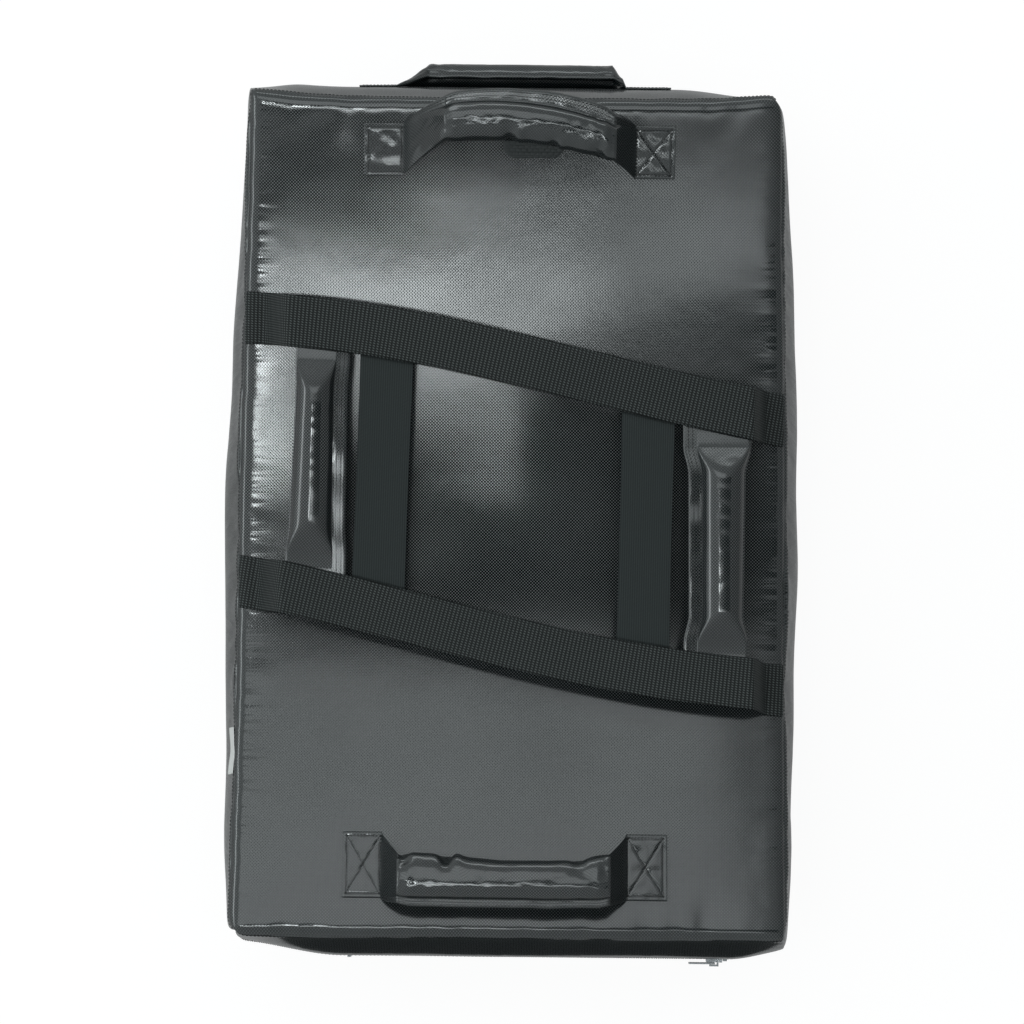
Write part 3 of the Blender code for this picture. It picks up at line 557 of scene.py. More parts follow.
# %% The padded body's formula
THICKNESS = 0.150
BACK_RADIUS = 1.253
STRIKE_RADIUS = BACK_RADIUS + THICKNESS
BACK_HALF_LENGTH = 0.338
STRIKE_HALF_LENGTH = 0.360
WIDTH = 0.4455
TOP_TAPER = 0.022
TAPER_POWER = 1.4
SIDE_BULGE = 0.018
TOP_BULGE = 0.013
BOTTOM_BULGE = 0.0136
LONG_FADE_START = 0.60
SHORT_FADE_START = 0.80
LONG_FADE_SHARE = 0.12
SHORT_FADE_SHARE = 0.45
TOP_CORNER_REACH = 0.0055
EDGE_DROP = 0.005
EDGE_ROLL = 0.014
CORNER_PULLS = {(-1, 1): 0.001, (1, 1): 0.006, (-1, -1): 0.006, (1, -1): 0.002}
BASE_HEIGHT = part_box("strike_panel")[0].z + STRIKE_RADIUS - 0.0006


def lerp(a, b, share):
    return a + (b - a) * share


def smooth(share):
    share = min(1.0, max(0.0, share))
    return share * share * (3.0 - 2.0 * share)


def half_width(v):
    return 0.5 * (WIDTH - TOP_TAPER * max(0.0, v) ** TAPER_POWER)


def edge_share(place, roll):
    """0 over the flat field, rising to 1 at the seam."""
    return max(0.0, (abs(place) - (1.0 - roll)) / roll) ** 2


def end_bulge(u, v):
    """How far an end wall swells. It fades early towards the top right and the bottom left corner."""
    if u * v > 0.0:
        start, share = LONG_FADE_START, LONG_FADE_SHARE
    else:
        start, share = SHORT_FADE_START, SHORT_FADE_SHARE
    full = TOP_BULGE if v > 0.0 else BOTTOM_BULGE
    return full * lerp(1.0, share, smooth((abs(u) - start) / (1.0 - start)))


def corner_reach(u, v):
    """How far the top corners stand out past the middle of the top seam."""
    beyond = max(0.0, (abs(u) - LONG_FADE_START) / (1.0 - LONG_FADE_START))
    return TOP_CORNER_REACH * beyond * beyond * max(0.0, v) ** 6


def shell_point(u, v, w, out=0.0):
    """A place on the padded body, or some way out from it. The cloth stays flat until close to a seam."""
    side = edge_share(u, 2.0 * EDGE_ROLL / WIDTH)
    end = edge_share(v, EDGE_ROLL / BACK_HALF_LENGTH)
    drop = EDGE_DROP * min(1.0, math.hypot(side ** 2, end ** 2)) - out
    pull = CORNER_PULLS[(1 if u > 0.0 else -1, 1 if v > 0.0 else -1)] * side * end - out
    radius = lerp(STRIKE_RADIUS - drop, BACK_RADIUS + drop, w)
    belly = math.sin(math.pi * w)
    reach = lerp(STRIKE_HALF_LENGTH / STRIKE_RADIUS, BACK_HALF_LENGTH / BACK_RADIUS, w)
    angle = v * (reach + (end_bulge(u, v) * belly + corner_reach(u, v) - pull) / radius)
    x = u * (half_width(v) + SIDE_BULGE * (1.0 - 0.6 * v * v) * belly - pull)
    return Vector((x, radius * math.sin(angle), BASE_HEIGHT - radius * math.cos(angle)))


def back_point(x, along, lift=0.0):
    """A place above the holder's side, x across and a distance along the curve."""
    v = along / BACK_HALF_LENGTH
    u = x / half_width(v)
    ground = shell_point(u, v, 1.0)
    angle = along / BACK_RADIUS
    return ground + lift * Vector((0.0, -math.sin(angle), math.cos(angle)))


print("body length over its curve:", 2.0 * BACK_HALF_LENGTH, "m")

# %% [markdown]
# ## The cover
# A sewn cover could be modelled as six flat panels and inflated, but its folds would then fall anywhere.
# Here a lattice of quads covers the slab, closer together near the seams. The seams are drawn in, and the
# cloth beside them stands in short pleats, which is what tight stitching does to coated cloth. One live
# subdivision rounds it all.

# %% Lattice over the six faces
FIELD_CELLS = (62, 96, 14)
SEAM_STEPS = (0.0008, 0.0017, 0.0028, 0.0042, 0.0062, 0.0090)
ZIP_LOW = 0.36
ZIP_MIDDLE = 0.40
ZIP_HIGH = 0.44
ZIP_BAND_LINES = (0.352, 0.358, 0.362, 0.367, 0.400, 0.433, 0.438, 0.442, 0.448)


def lattice_places(cells, length):
    """Places from -1 to 1: close beside both seams, then evenly spaced over the field."""
    near = [2.0 * step / length for step in SEAM_STEPS]
    field = 1.0 - near[-1]
    even = [field * (2.0 * k / cells - 1.0) for k in range(cells + 1)]
    first = [-1.0] + [place - 1.0 for place in near[:-1]]
    return first + even + [1.0 - place for place in near[-2::-1]] + [1.0]


def depth_places():
    """Places from 0 to 1 through the thickness, with extra lines along the zip."""
    even = [0.5 + 0.5 * place for place in lattice_places(FIELD_CELLS[2], THICKNESS)]
    clear = [w for w in even if w < ZIP_BAND_LINES[0] - 0.01 or w > ZIP_BAND_LINES[-1] + 0.01]
    return sorted(clear + list(ZIP_BAND_LINES))


LATTICE = (
    lattice_places(FIELD_CELLS[0], WIDTH),
    lattice_places(FIELD_CELLS[1], 2.0 * BACK_HALF_LENGTH),
    depth_places(),
)
COUNTS = [len(places) - 1 for places in LATTICE]


def cloth_metres(u, v, w, fixed):
    """Where a corner lies on its own flat panel, in metres."""
    places = (u * half_width(v), v * BACK_HALF_LENGTH, w * THICKNESS)
    keep = {0: (2, 1), 1: (0, 2), 2: (0, 1)}[fixed]
    return places[keep[0]], places[keep[1]]


def lattice_quads():
    """Every quad as its fixed direction and its four corners' counts, wound so that its face points out."""
    for fixed in range(3):
        a, b = (fixed + 1) % 3, (fixed + 2) % 3
        for far_end in (False, True):
            steps = ((0, 0), (1, 0), (1, 1), (0, 1))
            if not far_end:
                steps = steps[::-1]
            for i in range(COUNTS[a]):
                for j in range(COUNTS[b]):
                    corners = []
                    for da, db in steps:
                        key = [0, 0, 0]
                        key[fixed] = COUNTS[fixed] if far_end else 0
                        key[a] = i + da
                        key[b] = j + db
                        corners.append(tuple(key))
                    yield fixed, corners


print("lattice:", " x ".join(str(count) for count in COUNTS), "cells")

# %% Pleats and dents
ON_WALL = 1e-6
SIDE_SEAM_CREASES = {"height": 0.0008, "pitch": 0.019, "reach": 0.010}
END_SEAM_CREASES = {"height": 0.0010, "pitch": 0.024, "reach": 0.016}
SIDE_WALL_CREASES = {"height": 0.0020, "pitch": 0.020, "reach": 0.022}
END_WALL_CREASES = {"height": 0.0009, "pitch": 0.030, "reach": 0.016}
CREASE_FADE = 0.05
PANEL_DENTS = {"height": 0.0009, "sizes": (0.16, 0.13)}
SIDE_WALL_DENTS = {"height": 0.0022, "sizes": (0.075, 0.06)}
END_WALL_DENTS = {"height": 0.0014, "sizes": (0.09, 0.06)}
SEAM_GROOVE = 0.0006
SEAM_GROOVE_WIDTH = 0.0011
ZIP_DIP = 0.0024
ZIP_DIP_EDGES = (0.359, 0.441)
ZIP_DIP_SLOPE = 0.006


def ridges(a, b, seed):
    """Crisp little ridges between soft hollows, from -1 to 1."""
    return 1.0 - 2.4 * abs(noise.noise(Vector((a, b, seed))))


def creases(kind, place, distance, seed):
    """Ridges beside a seam, by the place along it and the distance from it."""
    ridge = kind["height"] * ridges(place / kind["pitch"], distance / CREASE_FADE, seed)
    return ridge * math.exp(-distance / kind["reach"])


def dents(kind, a, b, seed):
    """Slow hollows and swellings of the cloth."""
    return kind["height"] * noise.noise(Vector((a / kind["sizes"][0], b / kind["sizes"][1], seed)))


def relief(u, v, w):
    """How far the cloth stands out from the plain slab, and how close a seam is."""
    x, y, z = u * half_width(v), v * BACK_HALF_LENGTH, w * THICKNESS
    to_side = (1.0 - abs(u)) * 0.5 * WIDTH
    to_end = (1.0 - abs(v)) * BACK_HALF_LENGTH
    to_back = (1.0 - w) * THICKNESS
    to_strike = w * THICKNESS
    if to_back < ON_WALL or to_strike < ON_WALL:
        seam = min(to_side, to_end)
        high = creases(SIDE_SEAM_CREASES, y, to_side, 2.0 + math.copysign(1.0, u))
        high += creases(END_SEAM_CREASES, x, to_end, 6.0 + math.copysign(1.0, v))
        high += dents(PANEL_DENTS, x, y, 3.0 * w)
    elif to_side < ON_WALL:
        seam = min(to_back, to_strike, to_end)
        high = creases(SIDE_WALL_CREASES, y + 0.5 * to_back, to_back, 11.0 + u)
        high += creases(SIDE_WALL_CREASES, y + 0.5 * to_strike, to_strike, 14.0 + u)
        high += dents(SIDE_WALL_DENTS, y, z, 20.0 + u)
    else:
        seam = min(to_back, to_strike, to_side)
        high = creases(END_WALL_CREASES, x, to_back, 31.0 + v)
        high += creases(END_WALL_CREASES, x, to_strike, 34.0 + v)
        high += dents(END_WALL_DENTS, x, z, 40.0 + v)
    high -= SEAM_GROOVE * math.exp(-((seam / SEAM_GROOVE_WIDTH) ** 2))
    if v < ON_WALL - 1.0:
        low_edge, high_edge = ZIP_DIP_EDGES
        high -= ZIP_DIP * smooth((w - low_edge) / ZIP_DIP_SLOPE) * smooth((high_edge - w) / ZIP_DIP_SLOPE)
    return high, seam


print("seam groove:", 1000.0 * SEAM_GROOVE, "mm deep")

# %% Build the cover
WEAR_REACH = 0.006
SIDE_PLEAT_REACH = 0.007
END_PLEAT_REACH = 0.012


def dress(made, look):
    """Gives an object one finish."""
    made.data.materials.clear()
    made.data.materials.append(look)


def add_piece(name, mesh, look, body=None):
    """Links a finished mesh as an object with its finish, body and material slot."""
    made = placed(name, mesh)
    dress(made, look)
    if body is not None:
        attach(made, body)
    return made


def build_cover():
    build = bmesh.new()
    cloth_map = build.loops.layers.uv.new("cloth")
    wear = build.verts.layers.float.new("wear")
    beside_side = build.verts.layers.float.new("beside_side")
    beside_end = build.verts.layers.float.new("beside_end")
    verts = {}
    facts = {}
    for _, corners in lattice_quads():
        for key in corners:
            if key not in verts:
                place = [LATTICE[axis][key[axis]] for axis in range(3)]
                verts[key] = build.verts.new(shell_point(*place))
                facts[key] = place
    for fixed, corners in lattice_quads():
        face = build.faces.new([verts[key] for key in corners])
        face.smooth = True
        for loop, key in zip(face.loops, corners):
            loop[cloth_map].uv = cloth_metres(*facts[key], fixed)
    build.normal_update()
    for key, vert in verts.items():
        u, v, w = facts[key]
        high, seam = relief(u, v, w)
        vert.co += vert.normal * high
        vert[wear] = math.exp(-seam / WEAR_REACH)
        vert[beside_side] = math.exp(-0.5 * WIDTH * (1.0 - abs(u)) / SIDE_PLEAT_REACH)
        vert[beside_end] = math.exp(-BACK_HALF_LENGTH * (1.0 - abs(v)) / END_PLEAT_REACH)
    return finished(build, "shield_cover")


cover = add_piece("shield_cover", build_cover(), cover_cloth)
rounding = cover.modifiers.new("rounding", "SUBSURF")
rounding.levels = 1
rounding.render_levels = 1
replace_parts(cover, "back_panel", "strike_panel", "left_side_gusset", "right_side_gusset", "top_end_gusset")
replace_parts(cover, "bottom_gusset_strike_strip", "bottom_gusset_back_strip")
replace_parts(cover, "strike_foam", "core_foam", "back_foam")
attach(cover, "shield")
print("cover:", len(cover.data.polygons), "quads before its subdivision")

# %% [markdown]
# Pieces that are sewn down follow the cloth under them. The cover's finished surface answers one question
# for all of them: where is the nearest place on the cloth, and which way is out there.

# %% The cloth under sewn pieces
bpy.context.view_layer.update()
cover_surface = BVHTree.FromObject(cover, bpy.context.evaluated_depsgraph_get())


def on_cover(place):
    """The nearest place on the cover, and the way out there."""
    return cover_surface.find_nearest(place)[:2]


print("cover's highest place:", round(max(cover.data.vertices, key=lambda v: v.co.z).co.z, 4), "m")

# %% [markdown]
# ## Lofted cloth pieces
# Straps, elastics, grips and handles are all one idea: a closed section carried along a line. One helper
# joins the sections into a skin, and lays out the cloth map, so a weave keeps its true size. The map
# either follows a chart that the piece gives, or measures the skin as it goes.

# %% Loft helper
def measured_chart(rings):
    """A cloth map for a rolled piece: metres along its middle, and metres round it."""
    count = len(rings[0])
    middles = [sum(ring, Vector()) / count for ring in rings]
    along = [0.0]
    for near, far in zip(middles[:-1], middles[1:]):
        along.append(along[-1] + (far - near).length)
    around = []
    for ring in rings:
        lengths = [0.0]
        for k in range(count):
            lengths.append(lengths[-1] + (ring[(k + 1) % count] - ring[k]).length)
        around.append([length - 0.5 * lengths[-1] for length in lengths])
    return lambda r, k: (along[r], around[r][k])


def loft(name, rings, chart=None, run=None, wear=None, closed=(True, True)):
    """A skin through rings of points. chart gives its cloth map, run the distance that ribs follow."""
    build = bmesh.new()
    cloth_map = build.loops.layers.uv.new("cloth")
    worn = build.verts.layers.float.new("wear")
    ran = build.verts.layers.float.new("run")
    count = len(rings[0])
    chart = chart or measured_chart(rings)
    verts = [[build.verts.new(point) for point in ring] for ring in rings]
    for r, row in enumerate(verts):
        for k, vert in enumerate(row):
            vert[worn] = wear(r, k) if wear else 0.0
            vert[ran] = run(r, k) if run else 0.0
    for r in range(len(rings) - 1):
        for k in range(count):
            n = (k + 1) % count
            face = build.faces.new((verts[r][k], verts[r][n], verts[r + 1][n], verts[r + 1][k]))
            face.smooth = True
            for loop, place in zip(face.loops, ((r, k), (r, k + 1), (r + 1, k + 1), (r + 1, k))):
                loop[cloth_map].uv = chart(*place)
    if closed[0]:
        build.faces.new(verts[0][::-1])
    if closed[1]:
        build.faces.new(verts[-1])
    bmesh.ops.recalc_face_normals(build, faces=build.faces)
    return finished(build, name)


def part_loft(name, rings, first, last, chart, wear, closed):
    """The skin through some of a roll's rings, with the cloth map and the wear of the whole roll."""
    return loft(
        name,
        rings[first:last + 1],
        chart=lambda r, k: chart(r + first, k),
        wear=lambda r, k: wear(r + first, k),
        closed=closed,
    )


def even_profile(outline, count):
    """A profile's points spread evenly over its length, from its first to its last."""
    lengths = [0.0]
    for near, far in zip(outline[:-1], outline[1:]):
        lengths.append(lengths[-1] + math.dist(near, far))
    spread = []
    place = 0
    for k in range(count):
        target = lengths[-1] * k / (count - 1)
        while place < len(outline) - 2 and lengths[place + 1] < target:
            place += 1
        share = (target - lengths[place]) / max(1e-9, lengths[place + 1] - lengths[place])
        spread.append(tuple(lerp(a, b, share) for a, b in zip(outline[place], outline[place + 1])))
    return spread


def rounded_turn(turn, half_wide, half_high, power):
    """A place on a profile that is an ellipse at power 2 and nearly a rectangle at power 8."""
    across = math.copysign(abs(math.cos(turn)) ** (2.0 / power), math.cos(turn))
    out = math.copysign(abs(math.sin(turn)) ** (2.0 / power), math.sin(turn))
    return half_wide * across, half_high * out


print("loft helper ready")

# %% [markdown]
# ## Ribs by Geometry Nodes
# Webbing and elastic are ribbed cloth. One tree raises the skin in rounded ribs along its own normals, by
# the distance stored on each point. The strap stores the distance along itself, and the elastic the
# distance across.

# %% Rib tree
RIB_ROUNDNESS = 0.7
RIB_SUNK_SHARE = 0.6


def new_tree(name, **inputs):
    """A Geometry Nodes tree with its inputs, one output of geometry, and the two nodes that carry them."""
    tree = bpy.data.node_groups.new(name, "GeometryNodeTree")
    for socket, kind in {"Geometry": "Geometry", **inputs}.items():
        tree.interface.new_socket(socket, in_out="INPUT", socket_type="NodeSocket" + kind)
    tree.interface.new_socket("Geometry", in_out="OUTPUT", socket_type="NodeSocketGeometry")
    return tree, tree.nodes.new("NodeGroupInput"), tree.nodes.new("NodeGroupOutput")


def make_ribs_tree():
    tree, start, end = new_tree("ribs", Pitch="Float", Height="Float")
    run = add_node(tree, "GeometryNodeInputNamedAttribute", {"data_type": "FLOAT"}, Name="run")
    turns = maths(tree, "DIVIDE", run.outputs["Attribute"], start.outputs["Pitch"])
    wave = maths(tree, "ABSOLUTE", maths(tree, "SINE", maths(tree, "MULTIPLY", turns, math.pi)))
    crown = maths(tree, "POWER", wave, RIB_ROUNDNESS)
    high = maths(tree, "SUBTRACT", crown, RIB_SUNK_SHARE)
    high = maths(tree, "MULTIPLY", high, start.outputs["Height"])
    normal = tree.nodes.new("GeometryNodeInputNormal").outputs["Normal"]
    push = add_node(tree, "ShaderNodeVectorMath", {"operation": "SCALE"}, Vector=normal, Scale=high)
    moved = add_node(tree, "GeometryNodeSetPosition", Geometry=start.outputs["Geometry"])
    plug(tree, moved, "Offset", push.outputs["Vector"])
    plug(tree, end, "Geometry", moved.outputs["Geometry"])
    return tree


def run_tree(made, tree, **values):
    """Runs a node tree on an object, with its inputs by name, and keeps the result as a plain mesh."""
    change = made.modifiers.new(tree.name, "NODES")
    change.node_group = tree
    for item in tree.interface.items_tree:
        if item.item_type == "SOCKET" and item.in_out == "INPUT" and item.name in values:
            change[item.identifier] = values[item.name]
    bpy.context.view_layer.update()
    graph = bpy.context.evaluated_depsgraph_get()
    mesh = bpy.data.meshes.new_from_object(made.evaluated_get(graph), depsgraph=graph)
    made.modifiers.clear()
    old = made.data
    made.data = mesh
    mesh.name = made.name
    bpy.data.meshes.remove(old)


ribs_tree = make_ribs_tree()
print("rib tree:", len(ribs_tree.nodes), "nodes")

# %% [markdown]
# ## Webbing straps
# The two straps are sewn into both side seams, lie flat over the edge, climb, and cross the hollow of the
# shield in the air. They run askew, so a forearm passes under them at a slant. The rows of each strap
# stand at constant x, as in the frame, and the ribs lie square to the strap.

# %% Straps
GAP = 0.0003
WEBBING_WIDTH = 0.042
WEBBING_THICKNESS = 0.0018
STRAP_LIFT = 0.042
STRAP_INSET = 0.0006
LEFT_RAMP_END = 0.041
RIGHT_RAMP_END = 0.031
UPPER_STRAP_LINE = (
    (-0.222, 0.162),
    (-0.170, 0.160),
    (-0.010, 0.134),
    (0.150, 0.097),
    (0.222, 0.0836),
)
LOWER_STRAP_LINE = (
    (-0.223, -0.0515),
    (-0.169, -0.0615),
    (-0.009, -0.1005),
    (0.150, -0.130),
    (0.222, -0.136),
)
STRAP_STEP = 0.00062
STRAP_POINTS = 44
STRAP_EDGE_POWER = 7.0
STRAP_LYING_LIFT = 0.0004
STRAP_WANDER = 0.0005
STRAP_SCALLOP = 0.006
STRAP_REACH = 0.222
SMALL_STEP = 0.0004
PROFILE_STEPS = 240
RIB_HEIGHT = 0.00034


def through(points, x):
    """The smooth curve through a few points, at x."""
    total = 0.0
    for i, (xi, yi) in enumerate(points):
        weight = 1.0
        for j, (xj, _) in enumerate(points):
            if j != i:
                weight *= (x - xj) / (xi - xj)
        total += yi * weight
    return total


def strap_slant(line, x):
    return (through(line, x + 0.001) - through(line, x - 0.001)) / 0.002


def strap_ends(line):
    """Where a strap meets the two side seams."""
    left = -half_width(through(line, -STRAP_REACH) / BACK_HALF_LENGTH)
    right = half_width(through(line, STRAP_REACH) / BACK_HALF_LENGTH)
    return left, right


def strap_rise(line, x):
    """How far up its ramp a strap is at x: 0 where it lies on the panel, 1 where it crosses the hollow."""
    left, right = strap_ends(line)
    from_edge, ramp_end = (x - left, LEFT_RAMP_END) if x < 0.0 else (right - x, RIGHT_RAMP_END)
    return smooth((from_edge - EDGE_ROLL) / (ramp_end - EDGE_ROLL))


def strap_point(line, x, across, high):
    """A place on a strap: across from -half to half its width, high above its underside."""
    slope = strap_slant(line, x)
    along = through(line, x) + across * math.sqrt(1.0 + slope * slope)
    rise = strap_rise(line, x)
    wander = STRAP_WANDER * rise * noise.noise(Vector((x / 0.05, across / 0.03, line[0][1])))
    lift = lerp(GAP + STRAP_LYING_LIFT, STRAP_LIFT, rise) + high + wander
    place = back_point(x, along, lift)
    if rise < 0.2:
        ground = back_point(x, along)
        place += (on_cover(ground)[0] - ground) * (1.0 - 5.0 * rise)
    return place


def strap_places(line):
    """Places x along a strap whose middles lie an even step apart, and the distances to them."""
    left, right = strap_ends(line)
    x = left + STRAP_INSET
    places, runs = [x], [0.0]
    while x < right - STRAP_INSET:
        here = strap_point(line, x, 0.0, 0.0)
        slope = (strap_point(line, x + SMALL_STEP, 0.0, 0.0) - here).length / SMALL_STEP
        x = min(right - STRAP_INSET, x + STRAP_STEP / slope)
        places.append(x)
        runs.append(runs[-1] + (strap_point(line, x, 0.0, 0.0) - here).length)
    return places, runs


def flat_profile(half_wide, half_high, power, count):
    """A closed flat profile with rounded edges."""
    turns = [math.tau * k / PROFILE_STEPS for k in range(PROFILE_STEPS + 1)]
    outline = [rounded_turn(turn, half_wide, half_high, power) for turn in turns]
    return even_profile(outline, count + 1)[:-1]


def add_band(name, mesh, look, node, pitch, height):
    """A band of ribbed cloth in the frame's place."""
    made = add_piece(name, mesh, look)
    run_tree(made, ribs_tree, Pitch=pitch, Height=height)
    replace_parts(made, node)
    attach(made, "shield")
    return made


def make_strap(name, line, node):
    places, runs = strap_places(line)
    section = flat_profile(0.5 * WEBBING_WIDTH, 0.5 * WEBBING_THICKNESS, STRAP_EDGE_POWER, STRAP_POINTS)
    middle = 0.5 * WEBBING_THICKNESS
    rings = []
    for x, run in zip(places, runs):
        scallop = 1.0 + STRAP_SCALLOP * abs(math.sin(math.pi * run / RIB_PITCH))
        rings.append([strap_point(line, x, scallop * a, middle + b) for a, b in section])

    def ran(r, k):
        return runs[r] + section[k % STRAP_POINTS][0] * strap_slant(line, places[r])

    mesh = loft(name, rings, chart=lambda r, k: (ran(r, k), section[k % STRAP_POINTS][0]), run=ran)
    return add_band(name, mesh, webbing_look, node, RIB_PITCH, RIB_HEIGHT)


upper_strap = make_strap("upper_webbing_strap", UPPER_STRAP_LINE, "upper_strap")
make_strap("lower_webbing_strap", LOWER_STRAP_LINE, "lower_strap")
print("straps:", len(upper_strap.data.polygons), "faces in the upper one")

# %% Elastic bands
ELASTIC_WIDTH = 0.042
ELASTIC_THICKNESS = 0.0012
ELASTIC_LINES = {"left_elastic": (-0.1010, -0.1060), "right_elastic": (0.1080, 0.1055)}
UNDER_STRAP = STRAP_LIFT - 0.0005
SEWN_LENGTH = 0.030
ELASTIC_STEP = 0.004
ELASTIC_POINTS = 220
ELASTIC_RIB_HEIGHT = 0.00016
ELASTIC_EDGE_POWER = 6.0
ELASTIC_WAIST = 0.018
TUCK = 0.002


def strap_edge(line, x, side):
    """Where a strap's edge crosses x: side 1 is its far edge and -1 its near edge."""
    slope = strap_slant(line, x)
    return through(line, x) + side * 0.5 * WEBBING_WIDTH * math.sqrt(1.0 + slope * slope)


def elastic_point(ends, across, share, high):
    """A place on a band: drawn straight between the straps, and lying under them at both ends."""
    high_x, low_x = ends[0] + across, ends[1] + across
    top = strap_edge(UPPER_STRAP_LINE, high_x, -1.0) - TUCK
    bottom = strap_edge(LOWER_STRAP_LINE, low_x, 1.0) + TUCK
    lift = UNDER_STRAP - 0.5 * ELASTIC_THICKNESS + high
    if share < 0.0:
        return back_point(high_x, top - share * (SEWN_LENGTH + TUCK), lift)
    if share > 1.0:
        return back_point(low_x, bottom - (share - 1.0) * (SEWN_LENGTH + TUCK), lift)
    return lerp(back_point(high_x, top, lift), back_point(low_x, bottom, lift), share)


def make_elastic(node, ends):
    half_wide, half_high = 0.5 * ELASTIC_WIDTH, 0.5 * ELASTIC_THICKNESS
    section = flat_profile(half_wide, half_high, ELASTIC_EDGE_POWER, ELASTIC_POINTS)
    length = (elastic_point(ends, 0.0, 0.0, 0.0) - elastic_point(ends, 0.0, 1.0, 0.0)).length
    steps = max(8, round(length / ELASTIC_STEP))
    shares = [-0.9, -0.45] + [k / steps for k in range(steps + 1)] + [1.45, 1.9]
    rings = []
    for share in shares:
        waist = 1.0 - ELASTIC_WAIST * math.sin(math.pi * min(1.0, max(0.0, share)))
        rings.append([elastic_point(ends, waist * a, share, b) for a, b in section])

    def chart(r, k):
        return shares[r] * length, section[k % ELASTIC_POINTS][0]

    mesh = loft(node + "_band", rings, chart=chart, run=lambda r, k: chart(r, k)[1])
    return add_band(node + "_band", mesh, elastic_look, node, ELASTIC_RIB, ELASTIC_RIB_HEIGHT)


for node, ends in ELASTIC_LINES.items():
    band = make_elastic(node, ends)
print("elastic bands:", len(band.data.polygons), "faces each")

# %% [markdown]
# ## Stitches by Geometry Nodes
# Every seam of the shield shows its thread. A path is a polyline whose points store which way is up, and
# one tree walks along it: it spaces the points evenly, sets a short thread on each, turned along the path
# and up from the cloth, and gives them all one finish. The same tree lays the teeth of the zip.

# %% Repeat along a path
STITCH_PITCH = 0.0031
STITCH_REACH = 0.42
THREAD_RADIUS = 0.00030
THREAD_SIDES = 6
THREAD_ROWS = 7
THREAD_TIP_SHARE = 0.6
JITTER = 0.12
UP = Vector((0.0, 0.0, 1.0))


def make_rod(name, half_length, radius, arch, direction):
    """A short bent rod with closed ends. arch gives its height, by its place from -1 to 1."""
    build = bmesh.new()
    side = Vector((-direction.y, direction.x, 0.0))
    rows = []
    for step in range(THREAD_ROWS):
        place = -1.0 + 2.0 * step / (THREAD_ROWS - 1)
        thick = radius * (THREAD_TIP_SHARE if abs(place) > 0.9 else 1.0)
        middle = direction * half_length * place + UP * arch(place)
        row = []
        for k in range(THREAD_SIDES):
            turn = math.tau * k / THREAD_SIDES
            row.append(build.verts.new(middle + side * thick * math.cos(turn) + UP * thick * math.sin(turn)))
        rows.append(row)
    for near, far in zip(rows[:-1], rows[1:]):
        for k in range(THREAD_SIDES):
            n = (k + 1) % THREAD_SIDES
            build.faces.new((near[k], near[n], far[n], far[k]))
    build.faces.new(rows[0][::-1])
    build.faces.new(rows[-1])
    for face in build.faces:
        face.smooth = True
    bmesh.ops.recalc_face_normals(build, faces=build.faces)
    return bpy.data.objects.new(name, finished(build, name))


def thread_arch(place):
    """One stitch comes up out of the cloth, lies on it and goes down again."""
    return THREAD_RADIUS * (0.7 - 1.9 * abs(place) ** 3)


def make_repeat_tree():
    inputs = {"Element": "Object", "Spacing": "Float", "Look": "Material", "Jitter": "Float"}
    tree, start, end = new_tree("repeat_along_path", **inputs)
    path = add_node(tree, "GeometryNodeMeshToCurve", Mesh=start.outputs["Geometry"])
    even = add_node(tree, "GeometryNodeResampleCurve", {"mode": "LENGTH"}, Curve=path.outputs["Curve"])
    plug(tree, even, "Length", start.outputs["Spacing"])
    up = add_node(tree, "GeometryNodeInputNamedAttribute", {"data_type": "FLOAT_VECTOR"}, Name="up")
    tangent = tree.nodes.new("GeometryNodeInputTangent")
    align = "FunctionNodeAlignRotationToVector"
    raised = add_node(tree, align, {"axis": "Z"}, Vector=up.outputs["Attribute"])
    turned = add_node(tree, align, {"axis": "X", "pivot_axis": "Z"})
    fill(tree, turned, Rotation=raised.outputs["Rotation"], Vector=tangent.outputs["Tangent"])
    element = add_node(tree, "GeometryNodeObjectInfo", Object=start.outputs["Element"])
    copies = add_node(tree, "GeometryNodeInstanceOnPoints", Points=even.outputs["Curve"])
    fill(tree, copies, Instance=element.outputs["Geometry"], Rotation=turned.outputs["Rotation"])
    wobble = add_node(tree, "FunctionNodeRandomValue", {"data_type": "FLOAT"}, Seed=7)
    least, most = [socket for socket in wobble.inputs if socket.type == "VALUE"][:2]
    tree.links.new(maths(tree, "MULTIPLY", start.outputs["Jitter"], -1.0), least)
    tree.links.new(start.outputs["Jitter"], most)
    drawn = [socket for socket in wobble.outputs if socket.type == "VALUE"][0]
    swing = add_node(tree, "ShaderNodeCombineXYZ", Z=drawn)
    swung = add_node(tree, "GeometryNodeRotateInstances", Instances=copies.outputs["Instances"])
    plug(tree, swung, "Rotation", swing.outputs["Vector"])
    solid = add_node(tree, "GeometryNodeRealizeInstances", Geometry=swung.outputs["Instances"])
    dressed = add_node(tree, "GeometryNodeSetMaterial", Geometry=solid.outputs["Geometry"])
    plug(tree, dressed, "Material", start.outputs["Look"])
    plug(tree, end, "Geometry", dressed.outputs["Geometry"])
    return tree


def path_object(name, lines):
    """Polylines of (place, up) pairs as one object of edges."""
    build = bmesh.new()
    up_layer = build.verts.layers.float_vector.new("up")
    for line in lines:
        previous = None
        for place, up in line:
            vert = build.verts.new(place)
            vert[up_layer] = up
            if previous is not None:
                build.edges.new((previous, vert))
            previous = vert
    return placed(name, finished(build, name))


def sewn(name, lines, body=None, spacing=STITCH_PITCH, jitter=JITTER, element=None, look=thread_look):
    """Thread, or another element, repeated along the lines."""
    made = path_object(name, lines)
    run_tree(made, repeat_tree, Element=element or thread, Spacing=spacing, Look=look, Jitter=jitter)
    dress(made, look)
    if body is not None:
        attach(made, body)
    return made


